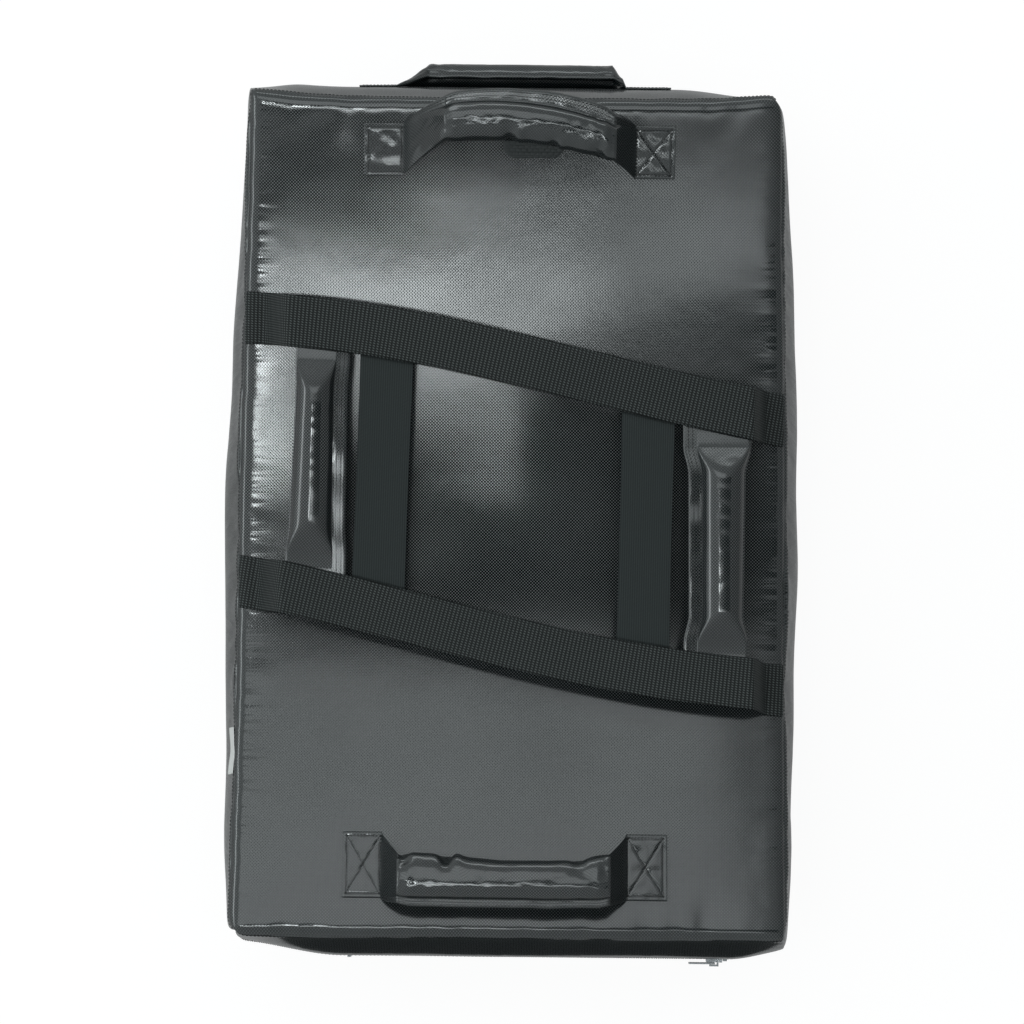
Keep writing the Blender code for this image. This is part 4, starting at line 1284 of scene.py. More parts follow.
thread = make_rod("thread", STITCH_REACH * STITCH_PITCH, THREAD_RADIUS, thread_arch, Vector((1.0, 0.0, 0.0)))
repeat_tree = make_repeat_tree()
print("one stitch:", len(thread.data.polygons), "faces")

# %% [markdown]
# ## Hand grips
# Between the straps, at each side, a foam roll in a cloth sleeve is sewn along one edge and under both
# straps. Near the straps the sleeve is pressed flat, and the roll rises from there as a wedge that opens
# out. The roll turns a little in the hand while its flat ends stay sewn. Each grip is made in two halves,
# which meet at its middle.

# %% Grips
GRIP_FLANGE = 0.011
GRIP_HALF_HEIGHT = 0.0125
GRIP_END_HALF_HEIGHT = 0.0014
GRIP_CLEAR = 0.006
GRIPS = {
    "left_grip": {"outer": (-0.1735, -0.1808), "flange": (-0.1303, -0.1318), "waist": 0.0015},
    "right_grip": {"outer": (0.1905, 0.1895), "flange": (0.1358, 0.1377), "waist": 0.0042},
}
GRIP_STEP = 0.0013
GRIP_POINTS = 52
GRIP_FLANGE_POINTS = 7
GRIP_FACET = 0.023
GRIP_FACET_EDGE = 0.0025
GRIP_FACET_ABOVE = 0.0006
GRIP_LIP = 0.0011
GRIP_TWIST = 0.20
GRIP_UNDER_STRAP = (0.012, 0.024)
GRIP_CREASE = 0.0005
GRIP_LUMP = 0.0006
GRIP_RUMPLE = 0.0001
GRIP_WAVE = 0.0007
GRIP_STITCH_ROWS = (GRIP_POINTS + 2.0, GRIP_POINTS + 4.2)


def lower_of(a, b, softness):
    """The lower of two heights, with the crease between them rounded."""
    share = min(1.0, max(0.0, 0.5 + 0.5 * (b - a) / softness))
    return lerp(b, a, share) - softness * share * (1.0 - share)


def grip_section(half_wide, from_end):
    """A roll with a flange at its +side, as (across, out) pairs.

    The pressed end is a flat facet that leans up from the seam until it runs out on top of the roll.
    """
    flat = GRIP_END_HALF_HEIGHT
    facet = lerp(flat, GRIP_HALF_HEIGHT + GRIP_FACET_ABOVE, from_end / GRIP_FACET)
    top = []
    for j in range(GRIP_POINTS + 1):
        across = -math.cos(math.pi * j / GRIP_POINTS)
        reach = across * half_wide / (half_wide - GRIP_LIP) if across < 0.0 else across
        roll = GRIP_HALF_HEIGHT * math.sqrt(max(0.0, 1.0 - reach * reach))
        edge = flat * math.sqrt(max(0.0, 1.0 - across ** 8)) if across < 0.0 else flat
        top.append((across * half_wide, max(edge, lower_of(roll, facet, GRIP_FACET_EDGE))))
    flange = []
    for j in range(1, GRIP_FLANGE_POINTS + 1):
        out = half_wide + GRIP_FLANGE * j / GRIP_FLANGE_POINTS
        flange.append((out, flat * (0.55 if j == GRIP_FLANGE_POINTS else 0.9)))
    upper = top + flange
    return upper + [(a, -b) for a, b in upper[::-1]][:-1]


def grip_lines(outer, flange):
    """The facts of a grip: its two ends, its ways across and up, and half its width at both ends."""
    sign = 1.0 if flange[0] > outer[0] else -1.0
    half = [0.5 * (abs(flange[k] - outer[k]) - GRIP_FLANGE) for k in (0, 1)]
    centre = [outer[k] + sign * half[k] for k in (0, 1)]
    top = min(strap_edge(UPPER_STRAP_LINE, x, -1.0) for x in (outer[0], flange[0])) - GRIP_CLEAR
    bottom = max(strap_edge(LOWER_STRAP_LINE, x, 1.0) for x in (outer[1], flange[1])) + GRIP_CLEAR
    lift = UNDER_STRAP - GRIP_END_HALF_HEIGHT
    high = back_point(centre[0], top, lift)
    low = back_point(centre[1], bottom, lift)
    axis = (high - low).normalized()
    across = Vector((sign, 0.0, 0.0))
    across = (across - axis * across.dot(axis)).normalized()
    up = axis.cross(across)
    if up.z < 0.0:
        up = -up
    return {"high": high, "low": low, "across": across, "up": up, "half": half}


def grip_rings(facts, waist, seed):
    """Every section of a grip, from under the upper strap to under the lower one."""
    high, low = facts["high"], facts["low"]
    length = (high - low).length
    steps = 2 * round(0.5 * length / GRIP_STEP)
    beyond = [reach / length for reach in GRIP_UNDER_STRAP]
    shares = [-share for share in beyond[::-1]] + [k / steps for k in range(steps + 1)]
    shares += [1.0 + share for share in beyond]
    rings = []
    for share in shares:
        near_end = max(0.0, min(share, 1.0 - share))
        rise = smooth(near_end * length / GRIP_FACET)
        half_wide = lerp(facts["half"][0], facts["half"][1], share) - waist * rise
        middle = lerp(high, low, share)
        ring = []
        for a, b in grip_section(half_wide, near_end * length):
            inner = max(0.0, 1.0 - abs(a) / half_wide) if abs(a) < half_wide else 0.0
            crease = ridges(share * length / 0.018, a / 0.05, seed) * math.exp(-near_end * length / 0.020)
            slow = noise.noise(Vector((share * length / 0.05, a / 0.03, seed + 3.0)))
            fine = ridges(share * length / 0.012, a / 0.02, seed + 9.0)
            lumps = GRIP_CREASE * crease + GRIP_LUMP * slow + GRIP_RUMPLE * fine
            lumps *= min(1.0, 4.0 * inner) * rise
            out = b + lumps if b > 0.0 else b - lumps
            if a > half_wide:
                out += GRIP_WAVE * noise.noise(Vector((share * length / 0.03, 5.0, seed)))
            ring.append(middle + facts["across"] * a + facts["up"] * out)
        rings.append(ring)
    return shares, rings


def ring_line(rings, place, low, high):
    """A path over a loft: place is a point's number in each ring, between two points where it isn't whole."""
    count = len(rings[0])
    here = int(math.floor(place)) % count
    beside = (here + 1) % count
    line = []
    for r in range(low, high + 1):
        near, far = rings[r][here], rings[r][beside]
        before, after = rings[max(r - 1, 0)][here], rings[min(r + 1, len(rings) - 1)][here]
        up = (after - before).cross(far - near).normalized()
        middle = sum(rings[r], Vector()) / count
        if up.dot(near - middle) < 0.0:
            up = -up
        line.append((lerp(near, far, place - math.floor(place)), up))
    return line


def grip_wear(share, k):
    """Fades the flange's free edge and the flat ends."""
    near_end = math.exp(-max(0.0, min(share, 1.0 - share)) / 0.05)
    edge = abs(k - (GRIP_POINTS + GRIP_FLANGE_POINTS))
    return max(0.6 * near_end, math.exp(-edge / 1.5))


def make_grip(name, outer, flange, waist):
    facts = grip_lines(outer, flange)
    ends = (facts["high"], facts["low"])
    shares, rings = grip_rings(facts, waist, 50.0 + outer[0] * 100.0)
    mid, last = len(rings) // 2, len(rings) - 1
    chart = measured_chart(rings)
    halves = (("upper", 0, mid, ends), ("lower", mid, last, ends[::-1]))

    def wear(r, k):
        return grip_wear(shares[r], k)

    for side, first, final, (near, far) in halves:
        whole = name + "_" + side
        bend = (near, lerp(near, far, GRIP_TWIST))
        mesh = part_loft(whole, rings, first, final, chart, wear, (False, False))
        made = add_piece(whole + "_half", mesh, handle_cloth)
        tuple(bend[0])
        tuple(bend[1])
        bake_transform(made)
        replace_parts(made, whole + "_end")
        if side == "upper":
            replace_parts(made, name + "_sleeve", name + "_core")
        rows = [ring_line(rings, row, first, final) for row in GRIP_STITCH_ROWS]
        stitches = sewn(whole + "_stitches", rows)
        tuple(bend[0])
        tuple(bend[1])
        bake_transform(stitches)
    return rings


for name, sides in GRIPS.items():
    grip = make_grip(name, **sides)
print("grips:", len(grip), "sections each")

# %% [markdown]
# ## Carry handles
# Each handle is one long strip: sewn flat at both ends, lifted between, and rolled round foam in the
# middle, where its edges meet in a stitched flange. The sections run from a flat rectangle at the tabs,
# through a lens in the legs, to the roll. The middle turns with the handle while the tabs stay sewn. Each
# handle is made in two halves, which meet at the middle of the roll.

# %% Handle shapes
TAB_REST = 0.0002
HANDLE_HALF_WIDTH = 0.0155
FLANGE_HALF_HEIGHT = 0.0014
EACH_HANDLE = {
    "lift": 0.0330,
    "half_high": 0.0120,
    "sheet": 0.0024,
    "end_share": 0.82,
    "squareness": 2.7,
    "rise": (0.8, 0.8),
    "growth": (2.0, 2.0),
    "twist": (1.0, 1.0),
    "way": 1.0,
    "flare": ((-1.0, 0.0), (1.0, 0.0)),
    "crossed": (True, True),
}
UPPER_HANDLE = {
    **EACH_HANDLE,
    "tabs": (-0.1215, -0.0905, 0.0955, 0.1275),
    "strip": 0.042,
    "tube": (-0.056, 0.078),
    "along": 0.2975,
    "shift": (0.0225, 0.0232, 0.0080),
    "flange": ((-0.056, 0.0085), (0.007, 0.0100), (0.035, 0.0115), (0.066, 0.0115), (0.078, 0.0100)),
    "twist": (0.65, 1.0),
    "crossed": (False, True),
    "seed": 70.0,
    "dents": (
        (-0.0050, -0.90, 0.0050, 0.0030),
        (0.0020, -0.75, 0.0040, -0.0016),
        (0.0300, -0.95, 0.0040, 0.0022),
        (0.0350, -0.95, 0.0030, -0.0015),
        (0.0640, -0.90, 0.0050, 0.0024),
    ),
}
LOWER_HANDLE = {
    **EACH_HANDLE,
    "tabs": (-0.1330, -0.1020, 0.0950, 0.1277),
    "strip": 0.053,
    "tube": (-0.087, 0.080),
    "along": -0.2810,
    "shift": (-0.0152, -0.0152, -0.0152),
    "way": -1.0,
    "flange": ((-0.087, 0.0065), (0.080, 0.0065)),
    "flare": (
        (-0.087, 0.0065),
        (-0.055, 0.0045),
        (-0.008, 0.0),
        (0.032, 0.0),
        (0.056, 0.0015),
        (0.080, 0.0070),
    ),
    "seed": 80.0,
    "dents": (
        (-0.0490, -0.95, 0.0045, 0.0042),
        (-0.0400, -0.95, 0.0050, -0.0018),
        (-0.0820, -0.90, 0.0040, 0.0025),
        (0.0550, -0.90, 0.0060, 0.0022),
    ),
}
END_HANDLE = {
    **EACH_HANDLE,
    "tabs": (-0.1250, -0.0955, 0.0870, 0.1225),
    "strip": 0.042,
    "tube": (-0.0735, 0.0795),
    "along": None,
    "shift": (-0.0236, -0.0236, -0.0236),
    "lift": 0.0102,
    "half_high": 0.0112,
    "sheet": 0.0014,
    "end_share": 0.95,
    "squareness": 2.0,
    "rise": (1.0, 0.45),
    "growth": (1.0, 0.5),
    "flange": ((-0.0735, 0.0070), (0.0795, 0.0070)),
    "seed": 90.0,
    "dents": ((-0.0200, -0.95, 0.0060, 0.0015), (0.0500, -0.95, 0.0050, 0.0018)),
}
END_TAB_LOW = 0.33
END_TAB_HIGH = 0.61
END_ROLL_LOW = 0.44
END_ROLL_HIGH = 0.60
TUBE_STEP = 0.0018
TAB_STEP = 0.0009
LEG_STEP = 0.0011
BODY_POINTS = 92
FLANGE_POINTS = 5
FULLNESS = ((0.05, 0.95), (0.14, 0.98), (0.35, 1.0), (0.65, 1.0), (0.86, 0.98), (0.95, 0.95))
TAB_POWER = 7.0
LEG_SOFTNESS = 0.3
ROLL_PROFILE_STEPS = 180


def step_between(stops, place):
    """A value that runs straight from stop to stop. Each stop is a place and its value."""
    place = max(stops[0][0], place)
    for (low, a), (high, b) in zip(stops[:-1], stops[1:]):
        if place <= high:
            return lerp(a, b, (place - low) / (high - low))
    return stops[-1][1]


def handle_frame(handle):
    """A handle's directions: frame(x, t, n) lies over a flat plane, ground(x, t, lift) over the cloth."""
    if handle["along"] is not None:
        angle = handle["along"] / BACK_RADIUS
        tangent = Vector((0.0, math.cos(angle), math.sin(angle)))
        normal = Vector((0.0, -math.sin(angle), math.cos(angle)))
        origin = back_point(0.0, handle["along"])

        def ground(x, t, lift):
            return on_cover(back_point(x, handle["along"] + t))[0] + normal * lift
    else:
        low, tab_low, tab_high, roll_high = [
            shell_point(0.0, 1.0, w) for w in (END_ROLL_LOW, END_TAB_LOW, END_TAB_HIGH, END_ROLL_HIGH)
        ]
        tangent = (roll_high - low).normalized()
        normal = Vector((1.0, 0.0, 0.0)).cross(tangent)
        normal = normal if normal.y > 0.0 else -normal
        origin = low + tangent * (lerp(tab_low, tab_high, 0.5) - low).dot(tangent)
        wall = (tab_high - tab_low).length

        def ground(x, t, lift):
            w = lerp(END_TAB_LOW, END_TAB_HIGH, 0.5 + t / wall)
            return on_cover(shell_point(x / half_width(1.0), 1.0, w))[0] + normal * lift

    def frame(x, t, n):
        return origin + Vector((x, 0.0, 0.0)) + tangent * t + normal * n

    return frame, ground


def handle_shape(handle, x):
    """A handle's section at x: how wide, high and square, how far along, and how far off the cloth."""
    tabs, tube = handle["tabs"], handle["tube"]
    half_strip, sheet = 0.5 * handle["strip"], 0.5 * handle["sheet"]
    end_share = handle["end_share"]
    flange = step_between(handle["flange"], x)
    flare = step_between(handle["flare"], x)
    if x <= tabs[1] or x >= tabs[2]:
        facts = {"part": "tab", "share": 0.0, "wide": half_strip, "high": sheet, "power": TAB_POWER}
        facts.update({"flange": 0.0, "flare": 0.0, "t": 0.0, "n": TAB_REST + sheet})
    elif x < tube[0] or x > tube[1]:
        end = 0 if x < tube[0] else 1
        fold, start = tabs[1 + end], tube[end]
        share = (x - fold) / (start - fold)
        rise = share ** handle["rise"][end]
        leg_power = lerp(TAB_POWER, handle["squareness"] - LEG_SOFTNESS, smooth(2.5 * share))
        facts = {"part": "leg", "share": share}
        facts["wide"] = lerp(half_strip, end_share * HANDLE_HALF_WIDTH, share)
        facts["high"] = lerp(sheet, end_share * handle["half_high"], share ** handle["growth"][end])
        facts["power"] = leg_power + LEG_SOFTNESS * smooth(2.0 * share - 1.0)
        facts["flange"] = flange * share
        facts["flare"] = flare * share
        facts["t"] = handle["shift"][2 * end] * rise
        facts["n"] = lerp(TAB_REST + sheet, handle["lift"], rise)
    else:
        share = (x - tube[0]) / (tube[1] - tube[0])
        full = step_between(((0.0, end_share),) + FULLNESS + ((1.0, end_share),), share)
        bow = through(list(zip((0.0, 0.5, 1.0), handle["shift"])), share)
        facts = {"part": "tube", "share": share, "power": handle["squareness"]}
        facts.update({"wide": HANDLE_HALF_WIDTH * full, "high": handle["half_high"] * full})
        facts.update({"flange": flange, "flare": flare, "t": bow, "n": handle["lift"]})
    return facts


def handle_section(wide, high, power, flange):
    """A roll with a flange at its +side, as (across, out) pairs: the body, then the flange."""
    flat = min(FLANGE_HALF_HEIGHT, 0.9 * high)
    opening = math.asin((flat / high) ** (0.5 * power))
    shares = [k / ROLL_PROFILE_STEPS for k in range(ROLL_PROFILE_STEPS + 1)]
    turns = [lerp(opening, math.tau - opening, share) for share in shares]
    body = even_profile([rounded_turn(turn, wide, high, power) for turn in turns], BODY_POINTS)
    edge = body[0][0]
    tip = wide + flange
    out = [(lerp(edge, tip - 0.5 * flat, j / FLANGE_POINTS), flat) for j in range(1, FLANGE_POINTS + 1)]
    return body + [(a, -b) for a, b in out] + [(tip, 0.0)] + out[::-1]


def handle_places(handle):
    """Where a handle's sections stand, closer together in the tabs and legs, and the tube's middle."""
    tabs, tube = handle["tabs"], handle["tube"]
    middle = 0.5 * (tube[0] + tube[1])
    stops = ((tabs[0], TAB_STEP), (tabs[1], LEG_STEP), (tube[0], TUBE_STEP), (middle, TUBE_STEP))
    stops += ((tube[1], LEG_STEP), (tabs[2], TAB_STEP), (tabs[3], None))
    places = []
    for (near, step), (far, _) in zip(stops[:-1], stops[1:]):
        count = max(2, round((far - near) / step))
        places += [lerp(near, far, k / count) for k in range(count)]
    return places + [tabs[3]], middle


TAB_BOX_INSET = 0.0034
TAB_FOLD_INSET = 0.001
TAB_GROOVE = 0.00036
TAB_GROOVE_WIDTH = 0.0007
TAB_ROWS = 9
TAB_LINE_STEPS = 12
TAB_STITCH_PITCH = 0.0028
TAB_RUMPLE = 0.00025
LEG_PLEAT = 0.0010
ROLL_LUMP = 0.0004
ROLL_RUMPLE = 0.0001
FLANGE_WAVE_UP = 0.0009
FLANGE_WAVE_OUT = 0.0008
CLOTH_CLEARANCE = 0.0004
HANDLE_STITCH_ROWS = (BODY_POINTS + 2 * FLANGE_POINTS - 1.3, BODY_POINTS + 2 * FLANGE_POINTS - 2.9)


def tab_box(handle, side):
    """The stitched box of a tab: its left and its right end, and half its width."""
    tabs = handle["tabs"]
    half = 0.5 * handle["strip"] - TAB_BOX_INSET
    if side < 0.0:
        return tabs[0] + TAB_BOX_INSET, tabs[1] - TAB_FOLD_INSET, half
    return tabs[2] + TAB_FOLD_INSET, tabs[3] - TAB_BOX_INSET, half


def tab_crossed(handle, side):
    """Whether a tab's box has diagonals. If not, it has plain rows."""
    return handle["crossed"][0 if side < 0.0 else 1]


def tab_groove(handle, x, t):
    """How deep the thread pulls a tab's cloth down: a box, and its diagonals where it has them."""
    left, right, half = tab_box(handle, x)
    distances = [1.0]
    if abs(t) < half + 0.001:
        distances += [abs(x - left), abs(x - right)]
    if left - 0.001 < x < right + 0.001:
        distances += [abs(t - half), abs(t + half)]
        if tab_crossed(handle, x) and abs(t) < half:
            share = (x - left) / (right - left)
            slant = math.hypot(right - left, 2.0 * half) / (right - left)
            distances += [abs(t - lerp(end, -end, share)) / slant for end in (-half, half)]
    return TAB_GROOVE * math.exp(-((min(distances) / TAB_GROOVE_WIDTH) ** 2))


def dent_depth(handle, x, across, wide):
    """How deep the dents of a handle are at a place on its roll."""
    depth = 0.0
    for at, side, size, deep in handle["dents"]:
        offset = ((x - at) / size) ** 2 + ((across / wide - side) * wide / (1.5 * size)) ** 2
        if offset < 9.0:
            depth += deep * math.exp(-offset)
    return depth


def handle_ring(handle, x, frame, ground):
    """One section of a handle, with its creases and dents."""
    facts = handle_shape(handle, x)
    part, wide, high, seed = facts["part"], facts["wide"], facts["high"], handle["seed"]
    to_fold = min(abs(x - handle["tabs"][1]), abs(x - handle["tabs"][2]))
    to_tube = min(abs(x - handle["tube"][0]), abs(x - handle["tube"][1]))
    settled = min(1.0, to_fold / 0.01)
    pleated = LEG_PLEAT * math.exp(-to_tube / 0.014) * min(1.0, to_fold / 0.006)
    lying = {"tab": 1.0, "leg": max(0.0, 1.0 - 4.0 * facts["share"]), "tube": 0.0}[part]
    ring = []
    for k, (a, b) in enumerate(handle_section(wide, high, facts["power"], facts["flange"])):
        if part == "tab":
            if b > 0.0:
                b -= tab_groove(handle, x, a * handle["way"])
            if b > 0.0:
                b += TAB_RUMPLE * noise.noise(Vector((x / 0.008, a / 0.008, seed)))
        elif k < BODY_POINTS:
            around = math.atan2(b / high, a / wide)
            swell = pleated * ridges(x / 0.010, around / 0.5, seed)
            swell += ROLL_LUMP * noise.noise(Vector((x / 0.03, 1.3 * around, seed + 2.0))) * settled
            swell += ROLL_RUMPLE * ridges(x / 0.009, around / 0.35, seed + 4.0) * settled
            if b > -0.3 * high:
                swell -= dent_depth(handle, x, a, wide)
            a += swell * math.cos(around)
            b += swell * math.sin(around)
        else:
            b += FLANGE_WAVE_UP * noise.noise(Vector((x / 0.018, 3.0, seed))) * settled
            a += FLANGE_WAVE_OUT * noise.noise(Vector((x / 0.022, 6.0, seed))) * settled
        if a < 0.0:
            a *= 1.0 + facts["flare"] / wide
        t = facts["t"] + handle["way"] * a
        n = facts["n"] + b
        place = frame(x, t, n)
        if lying > 0.0:
            place = lerp(place, ground(x, t, n), lying)
        if part == "leg" and b < 0.0:
            under, way_out = on_cover(place)
            sunk = CLOTH_CLEARANCE - (place - under).dot(way_out)
            if 0.0 < sunk < 0.01:
                place = place + way_out * sunk
        ring.append(place)
    return ring


def handle_wear(handle, x, k):
    """Fades the folds at the tabs' ends and the flange's free edge."""
    fold = min(abs(x - tab) for tab in handle["tabs"])
    edge = abs(k - (BODY_POINTS + FLANGE_POINTS))
    return max(0.7 * math.exp(-fold / 0.003), 0.8 * math.exp(-edge / 1.5))


def tab_lines(handle, ground, side):
    """The stitches of a tab, a box with two diagonals or with plain rows, as paths over the cloth."""
    left, right, half = tab_box(handle, side)
    corners = ((left, -half), (right, -half), (right, half), (left, half), (left, -half))
    runs = list(zip(corners[:-1], corners[1:]))
    if tab_crossed(handle, side):
        runs += [((left, -half), (right, half)), ((right, -half), (left, half))]
    else:
        rows = [lerp(-half, half, row / TAB_ROWS) for row in range(1, TAB_ROWS)]
        runs += [((left, t), (right, t)) for t in rows]
    high = TAB_REST + handle["sheet"] - 0.0002
    lines = []
    for (x0, t0), (x1, t1) in runs:
        line = []
        for step in range(TAB_LINE_STEPS + 1):
            x, t = lerp(x0, x1, step / TAB_LINE_STEPS), lerp(t0, t1, step / TAB_LINE_STEPS)
            place = ground(x, t, high)
            line.append((place, (ground(x, t, high + 0.001) - place).normalized()))
        lines.append(line)
    return lines


def make_handle(name, handle):
    frame, ground = handle_frame(handle)
    places, middle = handle_places(handle)
    rings = [handle_ring(handle, x, frame, ground) for x in places]
    chart = measured_chart(rings)
    mid = min(range(len(places)), key=lambda r: abs(places[r] - middle))
    tabs, tube = handle["tabs"], handle["tube"]
    halves = (("left", -1.0, 0, mid), ("right", 1.0, mid, len(places) - 1))

    def wear(r, k):
        return handle_wear(handle, places[r], k)

    for end, (side, sign, first, last) in enumerate(halves):
        whole = name + "_" + side
        mesh = part_loft(whole, rings, first, last, chart, wear, (end == 0, end == 1))
        made = add_piece(whole + "_half", mesh, handle_cloth)
        fold, start = tabs[1 + end], tube[end]
        turned = lerp(fold, start, handle["twist"][end])
        bend = (frame(fold, 0.0, 0.002), frame(turned, 0.0, 0.002))
        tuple(bend[0])
        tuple(bend[1])
        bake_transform(made)
        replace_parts(made, whole + "_tab", whole + "_leg")
        if side == "left":
            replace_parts(made, name + "_wrap", name + "_core")
        legs = [r for r in range(first, last + 1) if tabs[1] + 0.004 < places[r] < tabs[2] - 0.004]
        rows = [ring_line(rings, row, legs[0], legs[-1]) for row in HANDLE_STITCH_ROWS]
        flange = sewn(whole + "_flange_stitches", rows)
        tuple(bend[0])
        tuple(bend[1])
        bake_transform(flange)
        sewn(whole + "_tab_stitches", tab_lines(handle, ground, sign), "shield", TAB_STITCH_PITCH)
    return rings


print("handle sections:", BODY_POINTS + 2 * FLANGE_POINTS + 1, "points each")

# %% Build the handles
HANDLES = {"upper_handle": UPPER_HANDLE, "lower_handle": LOWER_HANDLE, "end_handle": END_HANDLE}
for name, handle in HANDLES.items():
    rings = make_handle(name, handle)
    print(name + ":", len(rings), "sections")

# %% [markdown]
# ## Seams
# The cover's panels are joined by turned seams, with a row of stitches on the wall side of each. The
# zip's opening has a row along both of its edges.

# %% Seam stitches
SEAM_STITCH_INSET = 0.0029
ZIP_STITCH_PLACES = (0.351, 0.449)
END_SEAM = (0.985, 150)
SIDE_SEAM = (0.990, 220)


def wall_line(point, reach, count):
    """A path over the cover through the places that point gives between its two ends."""
    return [on_cover(point(lerp(-reach, reach, k / count))) for k in range(count + 1)]


def seam_lines():
    inset = SEAM_STITCH_INSET / THICKNESS
    lines = []
    for w in (inset, 1.0 - inset):
        for end in (-1.0, 1.0):
            lines.append(wall_line(lambda u: shell_point(u, end, w), *END_SEAM))
            lines.append(wall_line(lambda v: shell_point(end, v, w), *SIDE_SEAM))
    for w in ZIP_STITCH_PLACES:
        lines.append(wall_line(lambda u: shell_point(u, -1.0, w), *END_SEAM))
    return lines


seam_stitches = sewn("seam_stitches", seam_lines(), "shield")
print("seam stitches:", len(seam_stitches.data.polygons), "faces")

# %% [markdown]
# ## Zip
# The zip lies in a slot of the bottom wall: two woven tapes, and a nylon coil that locks between them.
# The coil is one rounded tooth, repeated along both tapes half a pitch apart. The slider, its puller and
# the two stops are hard parts, so they keep the frame's own shapes, with their edges softened.

# %% Zip tapes and coil
TEETH_HALF_WIDTH = 0.0026
TOOTH_PITCH = 0.0015
TOOTH_HALF_LENGTH = 0.00116
TOOTH_RADIUS = 0.00042
TAPE_THICKNESS = 0.0010
TAPE_STEPS = 160
TAPE_POINTS = 5
TAPE_REACH = 0.993
COIL_REACH = 0.990
COIL_LIFT = 0.0002
SOFTENING = 0.00025


def make_tape(name, low, high, node):
    """A flat tape along the bottom wall, from one height to another."""
    rings = []
    for step in range(TAPE_STEPS + 1):
        u = lerp(-TAPE_REACH, TAPE_REACH, step / TAPE_STEPS)
        heights = [lerp(low, high, j / TAPE_POINTS) for j in range(TAPE_POINTS + 1)]
        face = [shell_point(u, -1.0, w) for w in heights]
        back = [shell_point(u, -1.0, w, -TAPE_THICKNESS) for w in heights[::-1]]
        rings.append(face + back)
    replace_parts(add_piece(name, loft(name, rings), tape_look, "shield"), node)


def coil_line(side):
    """The path of one row of teeth."""
    w = ZIP_MIDDLE + side * 0.5 * TEETH_HALF_WIDTH / THICKNESS
    shift = 0.25 * side * TOOTH_PITCH / half_width(-1.0)
    line = []
    for step in range(TAPE_STEPS + 1):
        u = lerp(-COIL_REACH, COIL_REACH, step / TAPE_STEPS) + shift
        place = shell_point(u, -1.0, w, COIL_LIFT)
        line.append((place, (shell_point(u, -1.0, w, COIL_LIFT + 0.001) - place).normalized()))
    return line


def tooth_arch(place):
    """A tooth is highest in its middle."""
    return TOOTH_RADIUS * (1.3 - 0.8 * abs(place) ** 3)


def make_zip():
    slit = 0.5 * GAP / THICKNESS
    reach = TEETH_HALF_WIDTH / THICKNESS
    make_tape("zip_tape_towards_strike_face", ZIP_LOW + 2.0 * slit, ZIP_MIDDLE - reach, "zip_strike_tape")
    make_tape("zip_tape_towards_back", ZIP_MIDDLE + reach, ZIP_HIGH - 2.0 * slit, "zip_back_tape")
    tooth = make_rod("tooth", TOOTH_HALF_LENGTH, TOOTH_RADIUS, tooth_arch, Vector((0.0, 1.0, 0.0)))
    for name, side in (("strike", -1.0), ("back", 1.0)):
        row = sewn("zip_coil_" + name, [coil_line(side)], "shield", TOOTH_PITCH, 0.0, tooth, nylon_look)
        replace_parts(row, "zip_" + name + "_teeth")


make_zip()
for hard_part in ("zip_slider", "zip_puller", "zip_closed_stop", "zip_open_stop"):
    kept = bpy.data.objects[hard_part]
    dress(kept, metal_look)
    softened = kept.modifiers.new("softened_edges", "BEVEL")
    softened.width = SOFTENING
    softened.segments = 2
    softened.limit_method = "ANGLE"
print("zip teeth every", 1000.0 * TOOTH_PITCH, "mm")

# %% [markdown]
# ## Patch and label
# The patch under the upper handle is woven of thick yarn that shows as rows of small bricks. The label is
# a bare white tape caught in the left seam, with a slight curl at its free edge.

# %% Woven patch
PATCH_LEFT = -0.0100
PATCH_RIGHT = 0.0385
PATCH_LOW = 0.2920
PATCH_HIGH = 0.3220
PATCH_CUT = 0.0060
PATCH_GROUND = 0.0007
PATCH_UNDERSIDE = 0.0001
BRICK_WIDTH = 0.0047
BRICK_ROW = 0.0027
BRICK_HEIGHT = 0.0010
PATCH_ROWS = 66
PATCH_COLUMNS = 100


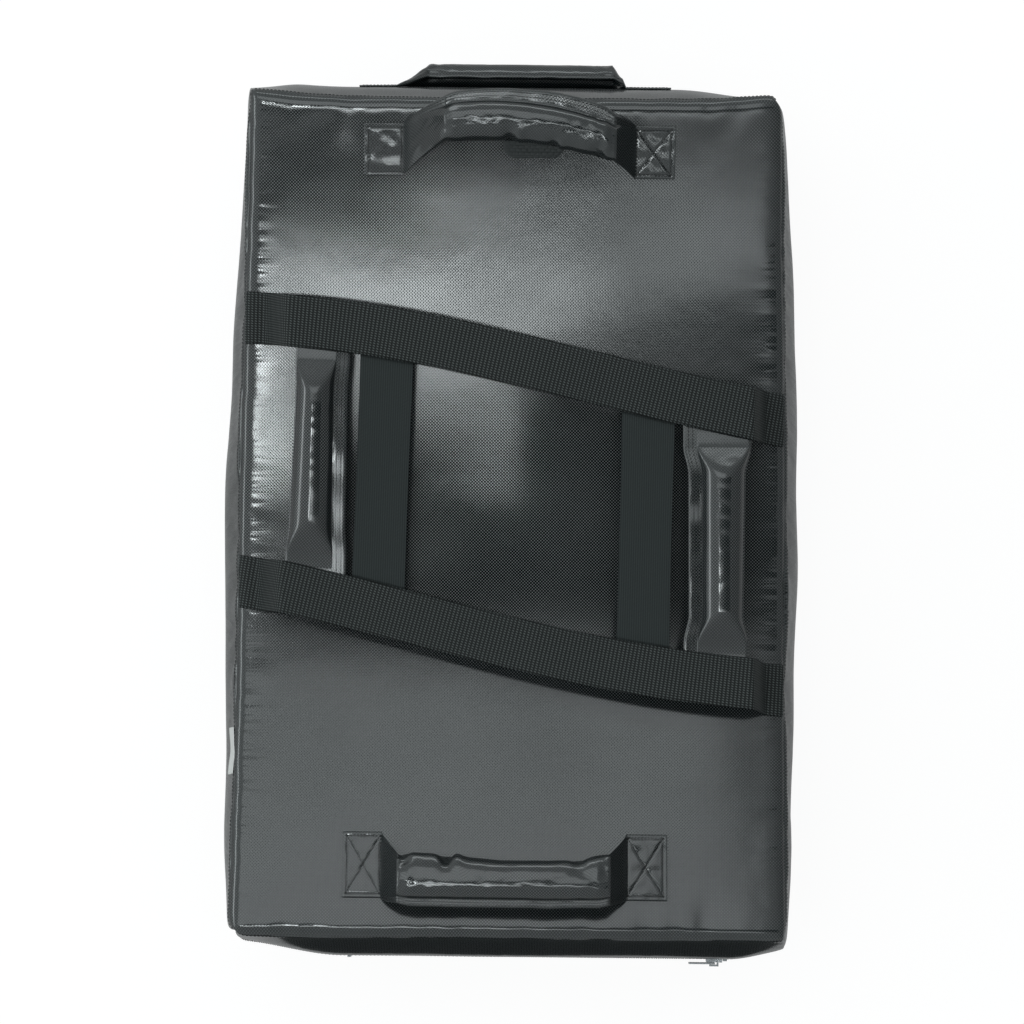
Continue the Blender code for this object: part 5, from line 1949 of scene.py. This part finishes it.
def brick_height(x, along):
    """A rounded brick in a running bond: 0 in the joints to 1 on the crowns."""
    row = math.floor(along / BRICK_ROW)
    across = x / BRICK_WIDTH + 0.5 * (row % 2)
    crown = abs(math.sin(math.pi * across)) * abs(math.sin(math.pi * along / BRICK_ROW))
    return crown ** 0.4


def make_patch():
    rings = []
    for r in range(PATCH_ROWS + 1):
        along = lerp(PATCH_LOW, PATCH_HIGH, r / PATCH_ROWS)
        cut = max(0.0, PATCH_LOW + PATCH_CUT - along)
        face, under = [], []
        for k in range(PATCH_COLUMNS + 1):
            x = lerp(PATCH_LEFT + cut, PATCH_RIGHT - cut, k / PATCH_COLUMNS)
            hem = min(k, PATCH_COLUMNS - k, 2 * r, 2 * (PATCH_ROWS - r))
            high = PATCH_GROUND + BRICK_HEIGHT * brick_height(x, along) * min(1.0, hem / 4.0)
            ground, way = on_cover(back_point(x, along))
            face.append(ground + way * high)
            under.append(ground + way * PATCH_UNDERSIDE)
        rings.append(face + under[::-1])
    name = "woven_brick_patch"
    made = add_piece(name, loft(name, rings), patch_look, "shield")
    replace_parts(made, "woven_patch")
    return made


patch = make_patch()
print("patch:", len(patch.data.polygons), "faces")

# %% Care label
LABEL_LOW = -0.208
LABEL_HIGH = -0.170
LABEL_TOP = 0.985
LABEL_BOTTOM = 0.875
LABEL_THICKNESS = 0.0004
LABEL_CURL = 0.0014
LABEL_LIFT = 0.0007
LABEL_ROWS = 24
LABEL_COLUMNS = 12


def make_label():
    rings = []
    for r in range(LABEL_ROWS + 1):
        v = lerp(LABEL_LOW, LABEL_HIGH, r / LABEL_ROWS) / BACK_HALF_LENGTH
        wave = 0.7 + 0.3 * math.cos(5.0 * r / LABEL_ROWS)
        face, under = [], []
        for k in range(LABEL_COLUMNS + 1):
            share = k / LABEL_COLUMNS
            ground, way = on_cover(shell_point(-1.0, v, lerp(LABEL_TOP, LABEL_BOTTOM, share)))
            lift = LABEL_LIFT + LABEL_CURL * share ** 3 * wave
            face.append(ground + way * (lift + LABEL_THICKNESS))
            under.append(ground + way * lift)
        rings.append(face + under[::-1])
    name = "blank_care_label"
    made = add_piece(name, loft(name, rings), label_look, "care_label")
    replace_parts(made, "care_label")
    return made


label = make_label()
print("label:", len(label.data.polygons), "faces")
